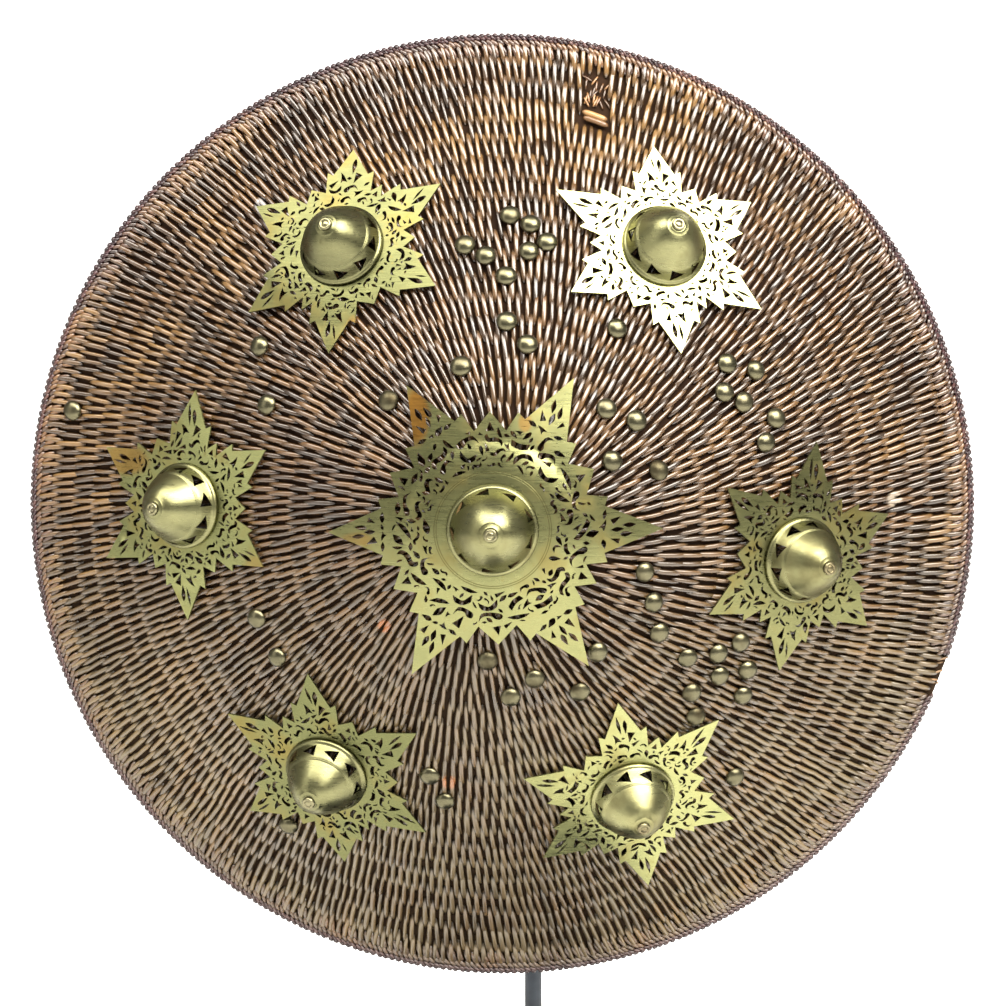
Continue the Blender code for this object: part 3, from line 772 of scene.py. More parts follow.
def buildGrips():
    radius, half = grip["bindingRadius"], grip["bindingWidth"] / 2
    loop = [(radius - dip, half * share) for dip, share in grip["bindingProfile"]]
    turn = meshOf(turnedShape(loop, 18), "bindingTurn")
    strip = turn.uv_layers.new(name="strip")
    for corner in turn.loops:
        place = turn.vertices[corner.vertex_index].co
        strip.data[corner.index].uv = (math.atan2(place.y, place.x) + 3, place.z / grip["bindingWidth"] + 0.5)
    places = []
    for name, side in (("grip_upper", 1), ("grip_lower", -1)):
        points = gripLine(side * grip["offset"])
        gripRod(name, points)
        bar = points[len(points) // 2]
        for k in range(grip["bindingTurns"]):
            spot = Vector((middle.x + grip["bindingFrom"] + grip["bindingWidth"] * k, bar.y, bar.z))
            if abs(spot.x - middle.x) < grip["span"] / 2 * grip["barStart"]:
                places.append(Matrix.Translation(spot) @ spun(90, "Y"))
    stamped("gripBinding", turn, places, np.linspace(0.3, 0.9, len(places)), edgeCane)


buildGrips()
print("damage and grips done")

# Stand: its solids with edges softened by these widths, in dark painted steel
standPieces = {"stand_foot": 0.0012, "stand_rod": 0.0, "stand_hook": 0.0006, "stand_prop": 0.0006}


def standMaterial():
    material, tree, sockets = finish("standPaint", 0.45, 0.35)
    where = objectPlace(tree)
    mottle = speckle(tree, where, 60.0, 3.0)
    grain = speckle(tree, where, 700.0, 2.0)
    tree.links.new(blend(tree, mapped(tree, mottle, 0.35, 0.7), colour(38, 43, 49), colour(54, 60, 68)),
                   sockets["Base Color"])
    tree.links.new(plus(tree, times(tree, mottle, 0.25), 0.3), sockets["Roughness"])
    bumped(tree, sockets, 0.12, 0.0002, grain)
    return material


def buildStand():
    paint = standMaterial()
    for name, soft in standPieces.items():
        bm = bmesh.new()
        bm.from_mesh(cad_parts[name].data)
        bmesh.ops.remove_doubles(bm, verts=bm.verts, dist=1e-6)
        bmesh.ops.dissolve_limit(bm, angle_limit=math.radians(1), verts=bm.verts, edges=bm.edges)
        sharp = [edge for edge in bm.edges if len(edge.link_faces) == 2 and edge.calc_face_angle() > 0.9]
        if soft:
            bmesh.ops.bevel(bm, geom=sharp, offset=soft, segments=2, profile=0.5, affect="EDGES", material=-1,
                            clamp_overlap=True)
        outwards(bm)
        finished(name + "Painted", bm, paint, [name], 35)


buildStand()

# Pierced stars. Sectors and teeth are shares of the tip's radius, with degrees from it. A point's piercings
# are shares along and across, turn, length, width and kind. Scrolls: radius, count, length, width, start
smallStar = {
    "tip": 0.078,
    "sector": ((0.71, 13.0), (0.75, 16.5), (0.56, 21.5)),
    "tooth": 0.655,
    "toothCut": 0.560,
    "bore": 0.0235,
    "guard": 0.0298,
    "ring": 0.0,
    "follow": 0.6,
    "margin": 0.0007,
    "edgeMargin": 0.0011,
    "point": ((0.800, 0.026, 6, 0.20, 0.044, "slit"), (0.770, -0.028, 2, 0.15, 0.050, "drop"),
              (0.665, 0.066, 25, 0.115, 0.066, "sail"), (0.650, -0.060, 160, 0.105, 0.070, "wedge"),
              (0.655, 0.004, 90, 0.060, 0.046, "leaf")),
    "scrolls": ((0.0432, 22, 0.0096, 0.0050, 0), (0.0352, 20, 0.0080, 0.0042, 8)),
    "fill": (0.0315, 0.0500, 700, 0.0062, 0.0034),
}
centreStar = {
    "tip": 0.112,
    "sector": ((0.67, 12.0), (0.70, 16.0), (0.585, 20.5)),
    "tooth": 0.69,
    "toothCut": 0.605,
    "bore": 0.0235,
    "guard": 0.0392,
    "ring": 0.0379,
    "follow": 0.86,
    "margin": 0.00085,
    "edgeMargin": 0.0019,
    "point": ((0.800, 0.026, 8, 0.085, 0.038, "leaf"), (0.785, -0.026, -176, 0.078, 0.036, "drop"),
              (0.725, 0.060, 25, 0.066, 0.042, "wedge"), (0.730, 0.000, 0, 0.080, 0.038, "leaf"),
              (0.715, -0.062, 155, 0.066, 0.044, "wedge"), (0.655, 0.088, 80, 0.082, 0.042, "leaf"),
              (0.650, 0.028, 70, 0.072, 0.044, "sail"), (0.655, -0.030, 110, 0.070, 0.042, "drop"),
              (0.652, -0.088, 95, 0.078, 0.042, "drop")),
    "scrolls": ((0.0590, 20, 0.0150, 0.0064, 0), (0.0505, 18, 0.0130, 0.0062, 7),
                (0.0430, 18, 0.0100, 0.0050, 3)),
    "fill": (0.0405, 0.0660, 1100, 0.0084, 0.0046),
}
# Each star's place in shares of the radius right of and above the middle, the looks of its sheet and boss
# (their brightness is painted light, standing in for how strongly each reflects the lamps), the boss's turn
# in degrees, and its tips in millimetres and degrees
stars = {
    "upper_left": {"place": (-0.314, 0.553), "bright": 0.19, "patina": 0.45, "green": 1.04,
        "bossPaintedLight": 0.34, "bossTurn": 15, "tips": (
        (75.1, -144.5), (78.7, -84.9), (73.3, -30.3), (74.3, 32.7), (77.7, 94.5), (77.5, 148.2))},
    "upper_right": {"place": (0.338, 0.553), "bright": 0.85, "patina": 0.20, "green": 1.02,
        "bossPaintedLight": 0.46, "bossTurn": 4, "tips": (
        (76.9, -142.7), (78.1, -89.6), (74.8, -28.3), (75.4, 32.8), (82.0, 92.5), (75.3, 150.1))},
    "left": {"place": (-0.640, 0.024), "bright": 0.49, "patina": 0.60, "green": 1.06,
        "bossPaintedLight": 0.42, "bossTurn": 12, "tips": (
        (77.7, -146.7), (78.9, -92.4), (77.9, -26.5), (79.5, 32.1), (78.8, 91.7), (75.7, 151.5))},
    "right": {"place": (0.619, -0.082), "bright": 0.34, "patina": 0.50, "green": 1.02,
        "bossPaintedLight": 0.40, "bossTurn": 20, "tips": (
        (77.3, -147.5), (77.3, -91.7), (75.8, -34.0), (75.9, 28.2), (80.5, 88.5), (78.5, 145.4))},
    "lower_left": {"place": (-0.350, -0.529), "bright": 0.27, "patina": 0.50, "green": 1.06,
        "bossPaintedLight": 0.40, "bossTurn": 10, "tips": (
        (79.5, -142.0), (79.7, -84.4), (74.5, -23.3), (74.9, 37.0), (78.9, 90.9), (79.9, 154.5))},
    "lower_right": {"place": (0.278, -0.574), "bright": 0.60, "patina": 0.40, "green": 1.04,
        "bossPaintedLight": 0.54, "bossTurn": 30, "tips": (
        (78.5, -131.3), (76.9, -76.2), (80.6, -14.2), (79.9, 43.1), (80.7, 108.2), (80.7, 164.3))},
    "centre": {"place": (0.0, 0.0), "bright": 0.44, "patina": 0.45, "green": 1.03,
        "bossPaintedLight": 0.44, "bossTurn": 22, "tips": (
        (112, -55.7), (112, -0.3), (112, 61.8), (110, 121.6), (110, 182.0), (113, 241.0))},
}
# Piercings in a box one unit long and wide; a third value marks a sharp corner
cutShapes = {
    "leaf": ((-0.5, 0, 1), (0, 0.42, 0), (0.5, 0, 1), (0, -0.42, 0)),
    "drop": ((-0.5, 0, 1), (0.12, 0.42, 0), (0.5, 0, 0), (0.12, -0.42, 0)),
    "wedge": ((-0.5, -0.45, 1), (0.5, 0, 1), (-0.5, 0.45, 1)),
    "sail": ((-0.5, -0.5, 1), (0.1, -0.3, 0), (0.5, 0.1, 1), (0.0, 0.2, 0), (-0.42, 0.5, 1), (-0.3, 0.0, 0)),
    "slit": ((-0.5, -0.2, 1), (0, 0.4, 0), (0.5, 0.2, 1), (0, -0.28, 0)),
    "slot": ((-0.5, -0.3, 1), (-0.44, 0.3, 1), (0, 0.5, 0), (0.44, 0.3, 1), (0.5, -0.3, 1), (0, -0.1, 0)),
    "comma": ((-0.5, 0.5, 1), (-0.34, -0.05, 0), (0.02, -0.12, 0), (0.2, 0.2, 0), (0.44, 0.2, 0),
              (0.48, -0.25, 0), (0.12, -0.5, 0), (-0.36, -0.42, 0)),
    "ess": ((-0.5, -0.2, 1), (-0.3, 0.1, 0), (-0.02, -0.14, 0), (0.24, -0.44, 0), (0.5, -0.1, 0),
            (0.44, 0.34, 1), (0.24, 0.06, 0), (0.02, 0.40, 0), (-0.3, 0.5, 0), (-0.48, 0.25, 0)),
    "cee": ((-0.5, -0.5, 1), (-0.42, 0.2, 0), (0, 0.5, 0), (0.42, 0.2, 0), (0.5, -0.5, 1), (0.2, -0.1, 0),
            (0, 0.06, 0), (-0.2, -0.1, 0)),
    "sickle": ((-0.5, -0.35, 1), (-0.2, 0.24, 0), (0.2, 0.42, 0), (0.5, 0.24, 1), (0.24, 0.02, 0),
               (-0.12, -0.2, 0)),
}
piercing = {
    "samples": 3,
    "gridStep": 0.005,
    "boreSteps": 48,
    "edgeBevel": 0.00022,
    "flange": 0.0292,
    "dent": 0.0006,
    "toothLength": 0.055,
    "toothWidth": 0.058,
    "scrollKinds": ("comma", "ess", "cee", "sickle", "comma", "ess", "slot"),
    "fillKinds": ("sickle", "leaf", "wedge", "comma", "drop", "sail"),
    "sizes": (1.0, 0.88, 0.76, 0.64, 0.54),
    "fillSizes": (1.3, 1.0, 0.8, 0.62, 0.5),
}


def ringPoint(radius, degrees):
    return Vector((radius * math.cos(math.radians(degrees)), radius * math.sin(math.radians(degrees)), 0))


def smoothLoop(points):
    # Closed curve through the points, straight away from its sharp corners
    spots = [Vector((x, y, 0)) for x, y, _ in points]
    count, loop = len(points), []
    for k in range(count):
        a, b, c, d = (spots[(k + shift) % count] for shift in (-1, 0, 1, 2))
        leave = Vector() if points[k][2] else (c - a) / 6
        arrive = Vector() if points[(k + 1) % count][2] else (d - b) / 6
        if points[k][2] and points[(k + 1) % count][2]:
            loop.append(b)
        else:
            loop.extend(interpolate_bezier(b, b + leave, c - arrive, c, piercing["samples"] + 1)[:-1])
    return loop


def spread(loop, step=0.0007):
    # Points all the way along a closed loop
    points = []
    for a, b in zip(loop, loop[1:] + loop[:1]):
        count = max(1, int((b - a).length / step))
        points.extend(a.lerp(b, k / count).xy for k in range(count))
    return np.array(points)


def surrounds(loop, point):
    # Whether a closed loop goes round the point
    inside = False
    for a, b in zip(loop, loop[1:] + loop[:1]):
        if (a.y > point.y) != (b.y > point.y):
            inside ^= point.x < a.x + (point.y - a.y) / (b.y - a.y) * (b.x - a.x)
    return inside


def pierce(plate, kind, centre, turn, length, width, mirrored=False, sizes=piercing["sizes"]):
    # Adds a piercing, made smaller until it is clear of the outline, the bore and those before it
    spin = spun(turn)
    side = -1 if mirrored else 1
    if not surrounds(plate["outline"], centre) or any(surrounds(loop, centre) for loop in plate["cuts"]):
        return
    reach = math.hypot(length, width) * max(sizes) / 2
    rivals = [(points[np.hypot(*(points - centre.xy).T) < reach + margin], margin)
              for points, margin in ((plate["edge"], plate["edgeMargin"]), (plate["taken"], plate["margin"]))]
    for size in sizes:
        loop = [centre + spin @ Vector((p.x * length * size, p.y * width * size * side, 0))
                for p in smoothLoop(cutShapes[kind])]
        points = spread(loop)
        if any(len(near) and np.hypot(*(points[:, None] - near[None]).transpose(2, 0, 1)).min() < margin
               for near, margin in rivals):
            continue
        if any(surrounds(loop, other[0]) for other in plate["cuts"]):
            continue
        plate["cuts"].append(loop)
        plate["taken"] = np.concatenate((plate["taken"], points))
        return


def toothAngle(tips, k):
    # Halfway from a tip's direction to the next one's
    degrees, after = tips[k][1], tips[(k + 1) % len(tips)][1]
    after += 360 if after < degrees else 0
    return (degrees + after) / 2


def starOutline(spec, tips):
    loop = []
    for k, (radius, degrees) in enumerate(tips):
        for share, away in reversed(spec["sector"]):
            loop.append(ringPoint(spec["tip"] * share, degrees - away))
        loop.append(ringPoint(radius / 1000, degrees))
        for share, away in spec["sector"]:
            loop.append(ringPoint(spec["tip"] * share, degrees + away))
        loop.append(ringPoint(spec["tip"] * spec["tooth"], toothAngle(tips, k)))
    return loop


def scrollRow(plate, dice, radius, count, length, width, start=0.0):
    for k in range(count):
        degrees = start + 360 * (k + dice.uniform(-0.12, 0.12)) / count
        pierce(plate, dice.choice(piercing["scrollKinds"]),
               ringPoint(radius * dice.uniform(0.985, 1.015), degrees), degrees + 90 + dice.uniform(-40, 40),
               length * dice.uniform(0.85, 1.1), width * dice.uniform(0.9, 1.15), dice.random() < 0.5)


def fillBand(plate, dice, low, high, tries, length, width):
    # Small piercings wherever the scrolls leave room
    for _ in range(tries):
        degrees = dice.uniform(0, 360)
        pierce(plate, dice.choice(piercing["fillKinds"]), ringPoint(dice.uniform(low, high), degrees),
               degrees + dice.uniform(0, 360), length * dice.uniform(0.8, 1.15),
               width * dice.uniform(0.85, 1.1), dice.random() < 0.5, piercing["fillSizes"])


def pointCuts(plate, dice, spec, tips):
    # Piercings inside each main point: shares along and across it, turn, length, width and shape
    for k, (radius, degrees) in enumerate(tips):
        for along, across, turn, length, width, kind in spec["point"]:
            centre = ringPoint(spec["tip"] * along, degrees) + ringPoint(spec["tip"] * across, degrees + 90)
            pierce(plate, kind, centre, degrees + turn + dice.uniform(-9, 9), spec["tip"] * length,
                   spec["tip"] * width * dice.uniform(0.9, 1.15), across < 0)
        tooth = toothAngle(tips, k)
        pierce(plate, "wedge", ringPoint(spec["tip"] * spec["toothCut"], tooth),
               tooth + dice.uniform(-10, 10), spec["tip"] * piercing["toothLength"],
               spec["tip"] * piercing["toothWidth"])


def starLoops(spec, facts, dice):
    # Outline, bore and piercings as closed loops in the plate's own plane
    outline = starOutline(spec, facts["tips"])
    steps = piercing["boreSteps"]
    bore, guard = ([ringPoint(spec[key], 360 * k / steps) for k in range(steps)] for key in ("bore", "guard"))
    plate = {"cuts": [], "outline": outline, "edge": np.concatenate((spread(outline), spread(guard))),
             "taken": np.empty((0, 2)), "margin": spec["margin"], "edgeMargin": spec["edgeMargin"]}
    pointCuts(plate, dice, spec, facts["tips"])
    for row in spec["scrolls"]:
        scrollRow(plate, dice, *row)
    fillBand(plate, dice, *spec["fill"])
    return [outline, bore] + plate["cuts"]


def starPlate(name, spec, facts, loops, material):
    # Flat sheet with its piercings, gridded, given its thickness and bright edges, then draped on the dome
    bm = bmesh.new()
    for loop in loops:
        verts = [bm.verts.new(point) for point in loop]
        for k, vert in enumerate(verts):
            bm.edges.new((vert, verts[k - 1]))
    bmesh.ops.triangle_fill(bm, use_beauty=True, use_dissolve=False, edges=bm.edges, normal=(0, 0, 1))
    reach = int(spec["tip"] / piercing["gridStep"]) + 1
    for k in range(-reach, reach + 1):
        for axis in ((1, 0, 0), (0, 1, 0)):
            bmesh.ops.bisect_plane(bm, geom=bm.verts[:] + bm.edges[:] + bm.faces[:], dist=1e-6,
                                   plane_co=Vector(axis) * k * piercing["gridStep"], plane_no=axis)
    raised = bmesh.ops.extrude_face_region(bm, geom=bm.faces[:])["geom"]
    top = [item for item in raised if isinstance(item, bmesh.types.BMVert)]
    bmesh.ops.translate(bm, verts=top, vec=(0, 0, shield["plate"]))
    outwards(bm)
    upper = [edge for edge in bm.edges if min(v.co.z for v in edge.verts) > shield["plate"] / 2
             and len(edge.link_faces) == 2 and edge.calc_face_angle() > 1.0]
    bmesh.ops.bevel(bm, geom=upper, offset=piercing["edgeBevel"], segments=1, profile=0.5, affect="EDGES",
                    material=-1, clamp_overlap=True)
    flat = bm.loops.layers.uv.new("strip")
    edgeMark = bm.faces.layers.float.new("cutEdge")
    for face in bm.faces:
        face[edgeMark] = 0.0 if abs(face.normal.z) > 0.98 else 1.0
        for loop in face.loops:
            loop[flat].uv = loop.vert.co.xy * brass["unitsPerMetre"] + Vector((0.5, 0.5))
    right, up = (share * shield["radius"] for share in facts["place"])
    seat = faceFrame(right, up)
    normal = seat.col[2].xyz
    flange = piercing["flange"]
    for vert in bm.verts:
        point = vert.co.copy()
        spot = seat @ Vector((point.x, point.y, 0))
        local = spot - middle
        radius = math.hypot(local.x, local.z)
        drop = (-local.y - heightAt(radius)) * math.cos(slopeAt(radius))
        away = math.hypot(point.x, point.y)
        share = min(max((away - flange) / flange, 0.0), 1.0)
        sink = spec["follow"] * drop * share if drop > 0 else drop
        dent = piercing["dent"] * share * noise.noise(spot * 30)
        vert.co = spot + normal * (shield["plateLift"] - sink + point.z + dent)
    return finished("plate_" + name, bm, material, ["star_" + name], 30)


# Orange stains by star: metres right of and above the middle, half width, half height and strength
starStains = {
    "centre": ((-0.0505, 0.0740, 0.0095, 0.0210, 0.75), (0.0210, 0.0700, 0.0050, 0.0070, 0.45),
               (-0.0900, -0.0080, 0.0130, 0.0050, 0.30), (-0.0690, -0.0530, 0.0050, 0.0110, 0.30)),
    "left": ((-0.2570, 0.0370, 0.0200, 0.0120, 0.50), (-0.1600, -0.0320, 0.0120, 0.0100, 0.25)),
    "upper_left": ((-0.0950, 0.1260, 0.0060, 0.0130, 0.35), (-0.0500, 0.1500, 0.0120, 0.0060, 0.25)),
}
plateTints = {"Metal": colour(184, 181, 126), "Film": colour(160, 161, 112)}
bossTints = {"Metal": colour(180, 178, 128), "Film": colour(148, 147, 108), "Patina": colour(108, 94, 56)}


# Scales a finish's tints by a share: painted light that makes each star's sheet and boss brighter or darker
# as the lamps fall on it
def dimmed(tints, share, green=1.0):
    return {name: (red * share, grassy * share * green, blue * share, 1.0)
            for name, (red, grassy, blue, _) in tints.items()}


for number, (name, facts) in enumerate(stars.items()):
    dice = random.Random(20 + number)
    spec = centreStar if name == "centre" else smallStar
    # painted light: the sheet's tints are scaled by the star's brightness
    tints = {**dimmed(plateTints, facts["bright"], facts["green"]), "Patina Amount": facts["patina"]}
    sheet = brassMaterial("starBrass_" + name, tints, cutEdges=True, ring=spec["ring"],
                          stains=starStains.get(name, ()))
    starPlate(name, spec, facts, starLoops(spec, facts, dice), sheet)
print("stars done")

# Bell bosses, turned from millimetre profiles, with a ring of three-sided windows above the flange
boss = {
    "steps": 48,
    "small": ((0.0, 34.0), (2.6, 34.0), (5.0, 33.8), (5.5, 33.4), (7.4, 32.9), (7.7, 32.5), (9.8, 31.5),
              (12.3, 29.6), (14.9, 26.8), (17.4, 23.5), (19.7, 20.0), (21.6, 17.0), (22.5, 15.5),
              (22.4, 15.2), (22.8, 14.9), (23.1, 14.4), (23.0, 14.1), (23.4, 13.8), (24.6, 11.0), (25.9, 7.6),
              (26.9, 4.6), (27.4, 3.5), (28.0, 3.0), (28.7, 2.6), (29.2, 1.7), (29.2, 0.5), (28.8, 0.0)),
    "smallInside": ((26.2, 0.0), (25.5, 5.0), (22.6, 12.4), (20.6, 16.2), (16.2, 22.4), (11.2, 27.6),
                    (0.0, 32.4)),
    "middle": ((0.0, 34.0), (2.8, 34.0), (5.2, 33.8), (5.8, 33.3), (8.2, 32.7), (8.6, 32.2), (11.0, 30.9),
               (14.0, 28.5), (17.0, 25.2), (19.8, 21.4), (21.8, 18.2), (23.4, 15.0), (24.6, 12.0),
               (26.2, 8.0), (27.6, 4.6), (28.2, 3.5), (28.9, 3.0), (29.8, 2.8), (30.4, 2.1), (30.6, 1.2),
               (30.4, 0.3), (30.1, 0.0)),
    "middleInside": ((27.2, 0.0), (26.0, 5.0), (22.8, 12.6), (20.2, 17.8), (16.0, 23.6), (10.0, 29.0),
                     (0.0, 32.4)),
    "windowBase": 0.0040,
    "windowTip": 0.0128,
    "windowWidth": 0.0096,
    "windowPlace": 0.0265,
    "windowDepth": 0.016,
    "cutBelow": 0.6,  # how far outwards a face looks, for the dark faces
    "insideBelow": -0.1,
    "height": 0.034,
}

def bossMesh(windows, kind):
    profile = [(x / 1000, z / 1000) for x, z in boss[kind] + boss[kind + "Inside"]]
    body = added("bossBody", meshOf(turnedShape(profile, boss["steps"]), "bossBody"))
    prisms = bmesh.new()
    for k in range(windows):
        made = bmesh.ops.create_cone(prisms, cap_ends=True, segments=3, radius1=1, radius2=1,
                                     depth=boss["windowDepth"])["verts"]
        bmesh.ops.rotate(prisms, verts=made, cent=(0, 0, 0), matrix=Matrix.Rotation(math.pi / 2, 3, "Y"))
        low, high = min(v.co.z for v in made), max(v.co.z for v in made)
        wide = max(v.co.y for v in made) - min(v.co.y for v in made)
        for vert in made:
            share = (vert.co.z - low) / (high - low)
            vert.co.z = boss["windowBase"] + share * (boss["windowTip"] - boss["windowBase"])
            vert.co.y *= boss["windowWidth"] / wide
            vert.co.x += boss["windowPlace"]
        bmesh.ops.rotate(prisms, verts=made, cent=(0, 0, 0),
                         matrix=Matrix.Rotation(math.tau * k / windows, 3, "Z"))
    outwards(prisms)
    cutter = added("bossCutter", meshOf(prisms, "bossCutter"))
    cut = body.modifiers.new("windows", "BOOLEAN")
    cut.operation = "DIFFERENCE"
    cut.object = cutter
    mesh = bpy.data.meshes.new_from_object(body.evaluated_get(bpy.context.evaluated_depsgraph_get()))
    for obj in (body, cutter):
        bpy.data.objects.remove(obj)
    # the inner wall and the windows' cut faces stay dark
    inside = mesh.attributes.new("inside", "FLOAT", "FACE")
    for face in mesh.polygons:
        outward = face.normal.dot((face.center * Vector((1, 1, 1.5))).normalized())
        radial = face.normal.xy.dot(face.center.xy.normalized())
        isCut = boss["windowBase"] - 0.0001 < face.center.z < boss["windowTip"] and radial < boss["cutBelow"]
        inside.data[face.index].value = 1.0 if outward < boss["insideBelow"] or isCut else 0.0
    strip = mesh.uv_layers.new(name="strip")
    for loop in mesh.loops:
        place = mesh.vertices[loop.vertex_index].co
        run = place.z - math.hypot(place.x, place.y)
        strip.data[loop.index].uv = (math.atan2(place.y, place.x) / math.tau + 0.5, run / 0.06 + 0.5)
    return mesh


# Rivet heads with a ringed dimple; the profile is in shares of the radius and the height
rivet = {
    "radius": 0.0045,
    "height": 0.0018,
    "profile": ((0.0, 0.9), (0.42, 0.9), (0.50, 0.7), (0.58, 0.9), (0.82, 1.0), (0.96, 0.7), (1.0, 0.2),
                (1.0, 0.0), (0.0, 0.0)),
}
bossShapes = {False: bossMesh(10, "small"), True: bossMesh(9, "middle")}
rivetShape = meshOf(turnedShape([(share * rivet["radius"], rise * rivet["height"])
                                 for share, rise in rivet["profile"]], 24), "rivet")
for name, facts in stars.items():
    right, up = (share * shield["radius"] for share in facts["place"])
    seat = faceFrame(right, up, shield["plateLift"] + shield["plate"] + shield["touch"])
    seat = seat @ spun(facts["bossTurn"])
    bell = bossShapes[name == "centre"].copy()
    bell.transform(seat)
    # painted light: the boss's tints are scaled by its brightness
    tints = {**dimmed(bossTints, facts["bossPaintedLight"]), "Patina Amount": 0.5}
    bossBrass = brassMaterial("bossBrass_" + name, tints, turned=True)
    dressed("bell_" + name, bell, bossBrass, ["boss_" + name], 32)
    cap = rivetShape.copy()
    cap.transform(seat @ Matrix.Translation((0, 0, boss["height"] + shield["touch"])))
    dressed("rivet_" + name, cap, rivetBrass, ["boss_rivet_" + name], 60)
print("bosses done")

# Dome-headed nails, placed in shares of the radius right of and above the middle, with the frame's own first
nails = {
    "radius": 0.0070,
    "height": 0.0042,
    "lift": 0.0006,
    "profile": ((0.0, 1.0), (0.38, 0.94), (0.7, 0.72), (0.92, 0.36), (1.0, 0.08), (1.0, 0.0), (0.0, 0.0)),
    "framed": (
        (0.027, 0.619), (-0.063, 0.559), (0.066, 0.547), (0.021, 0.498), (0.024, 0.408), (-0.066, 0.320),
        (-0.211, 0.251), (-0.483, 0.353), (-0.465, 0.236), (-0.897, 0.208), (0.245, 0.393), (0.468, 0.320),
        (0.502, 0.242), (0.568, 0.208), (0.224, 0.236), (0.236, 0.133), (0.329, 0.112), (0.302, -0.091),
        (0.332, -0.218), (0.390, -0.275), (0.498, -0.248), (0.514, -0.308), (0.399, -0.350), (0.208, -0.254),
        (0.082, -0.308), (0.172, -0.338), (-0.012, -0.269), (0.492, -0.544), (-0.489, -0.202),
        (-0.136, -0.526), (-0.441, -0.659)),
    "more": (
        (0.069, 0.601), (-0.021, 0.538), (0.103, 0.565), (0.066, 0.363), (0.526, 0.305), (0.462, 0.263),
        (0.547, 0.160), (0.284, 0.211), (0.320, -0.154), (0.453, -0.269), (0.456, -0.317), (0.505, -0.363),
        (0.408, -0.402), (0.033, -0.347), (-0.106, -0.583), (-0.447, -0.281)),
}


def nailHeads():
    dice = random.Random(31)
    shape = meshOf(turnedShape([(share * nails["radius"], rise * nails["height"])
                                for share, rise in nails["profile"]], 20), "nailHead")
    for number, (right, up) in enumerate(nails["framed"] + nails["more"], 1):
        seat = faceFrame(right * shield["radius"], up * shield["radius"], nails["lift"])
        tilt = spun(dice.gauss(0, 3), "X") @ Matrix.Rotation(dice.uniform(0, 6), 4, "Z")
        size = Matrix.Diagonal((1 + dice.gauss(0, 0.02), 1 + dice.gauss(0, 0.03), 1 + dice.gauss(0, 0.05), 1))
        head = shape.copy()
        head.transform(seat @ tilt @ size)
        nodes = [f"nail_{number:02d}"] if number <= len(nails["framed"]) else []
        dressed(f"nailHead_{number:02d}", head, nailBrass, nodes, 60)


nailHeads()
print("nails done")

# Camera at the photograph's angle
view = {"distance": 2.4, "elevation": 5.5, "azimuth": 2.0, "focalPixels": 3447, "frameWidth": 1000,
        "aimHigher": 0.0047}


def setCamera():
    lens = bpy.data.cameras.new("viewCamera")
    lens.sensor_fit = "HORIZONTAL"
    lens.sensor_width = 36
    lens.lens = view["focalPixels"] / view["frameWidth"] * lens.sensor_width
    lens.clip_end = 50
    camera = added("viewCamera", lens)
    rise, side = math.radians(view["elevation"]), math.radians(view["azimuth"])
    away = Vector((math.sin(side) * math.cos(rise), -math.cos(side) * math.cos(rise), math.sin(rise)))
    camera.location = middle + away * view["distance"]
    target = middle + Vector((0, 0, view["aimHigher"]))
    camera.rotation_euler = (target - camera.location).to_track_quat("-Z", "Y").to_euler()
    bpy.context.scene.camera = camera


# Pale floor that runs up into the backdrop, and soft studio light
studio = {"width": 5.0, "front": -4.5, "turnStart": 4.0, "turnRadius": 0.9, "top": 4.0, "ambient": 0.46,
          "warmth": (1.0, 0.965, 0.89), "paper": (0.9, 0.9, 0.91, 1), "air": (1, 0.985, 0.93, 1)}
lamps = {
    "key": {"from": (1.00, -1.15, 1.42), "size": (1.50, 1.50), "power": 128},
    "top": {"from": (-0.45, -1.00, 1.75), "size": (2.20, 1.00), "power": 88},
    "left": {"from": (-1.60, -1.00, 0.50), "size": (0.80, 1.40), "power": 7},
    "rear": {"from": (0.90, 1.70, 1.30), "size": (1.50, 1.50), "power": 40},
    "low": {"from": (0.20, -1.60, -1.10), "size": (2.20, 0.80), "power": 5},
}


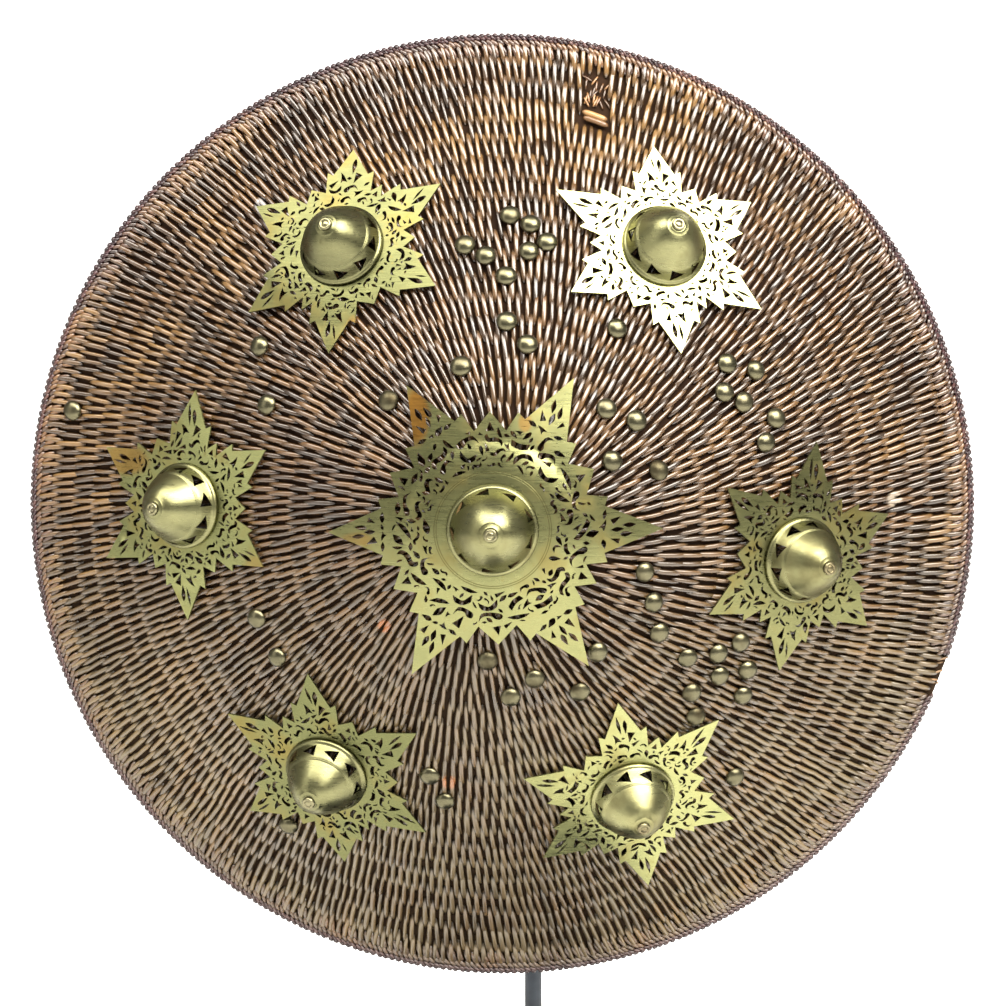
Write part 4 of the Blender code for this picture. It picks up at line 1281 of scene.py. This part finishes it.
def buildStudio():
    bm = bmesh.new()
    first = bm.verts.new((-studio["width"], studio["front"], 0))
    turn = bm.verts.new((-studio["width"], studio["turnStart"], 0))
    floorEdge = bm.edges.new((first, turn))
    bmesh.ops.spin(bm, geom=[turn], cent=(0, studio["turnStart"], studio["turnRadius"]), axis=(1, 0, 0),
                   angle=math.pi / 2, steps=16)
    bm.verts.ensure_lookup_table()
    high = max(bm.verts, key=lambda v: v.co.z)
    top = bm.verts.new((-studio["width"], high.co.y, studio["top"]))
    bm.edges.new((high, top))
    swept = bmesh.ops.extrude_edge_only(bm, edges=bm.edges[:])["geom"]
    bmesh.ops.translate(bm, verts=[v for v in swept if isinstance(v, bmesh.types.BMVert)],
                        vec=(studio["width"] * 2, 0, 0))
    bmesh.ops.recalc_face_normals(bm, faces=bm.faces)
    mesh = meshOf(bm, "sweep")
    mesh.shade_smooth()
    paper = bpy.data.materials.new("paper")
    paper.use_nodes = True
    shader = paper.node_tree.nodes["Principled BSDF"].inputs
    seen = addNode(paper.node_tree, "ShaderNodeLightPath").outputs["Is Camera Ray"]
    shader["Base Color"].default_value = studio["paper"]
    shader["Roughness"].default_value = 0.9
    shader["Emission Color"].default_value = (1, 1, 1, 1)
    paper.node_tree.links.new(seen, shader["Emission Strength"])
    mesh.materials.append(paper)
    sweep = added("sweep", mesh)
    world = bpy.data.worlds.new("studioWorld")
    world.use_nodes = True
    world.node_tree.nodes["Background"].inputs["Color"].default_value = studio["air"]
    bright = addNode(world.node_tree, "ShaderNodeLightPath").outputs["Is Camera Ray"]
    shown = addNode(world.node_tree, "ShaderNodeMix", None,
                    {"Factor": bright, "A": studio["ambient"], "B": 1.0})
    world.node_tree.links.new(shown.outputs["Result"], world.node_tree.nodes["Background"].inputs["Strength"])
    bpy.context.scene.world = world
    for name, spec in lamps.items():
        data = bpy.data.lights.new(name, "AREA")
        data.shape = "RECTANGLE"
        data.size, data.size_y = spec["size"]
        data.energy = spec["power"]
        data.color = studio["warmth"]
        lamp = added(name, data)
        lamp.location = middle + Vector(spec["from"])
        lamp.rotation_euler = (middle - lamp.location).to_track_quat("-Z", "Y").to_euler()
    bpy.context.scene.view_settings.view_transform = "Standard"


setCamera()
buildStudio()
print("studio ready")
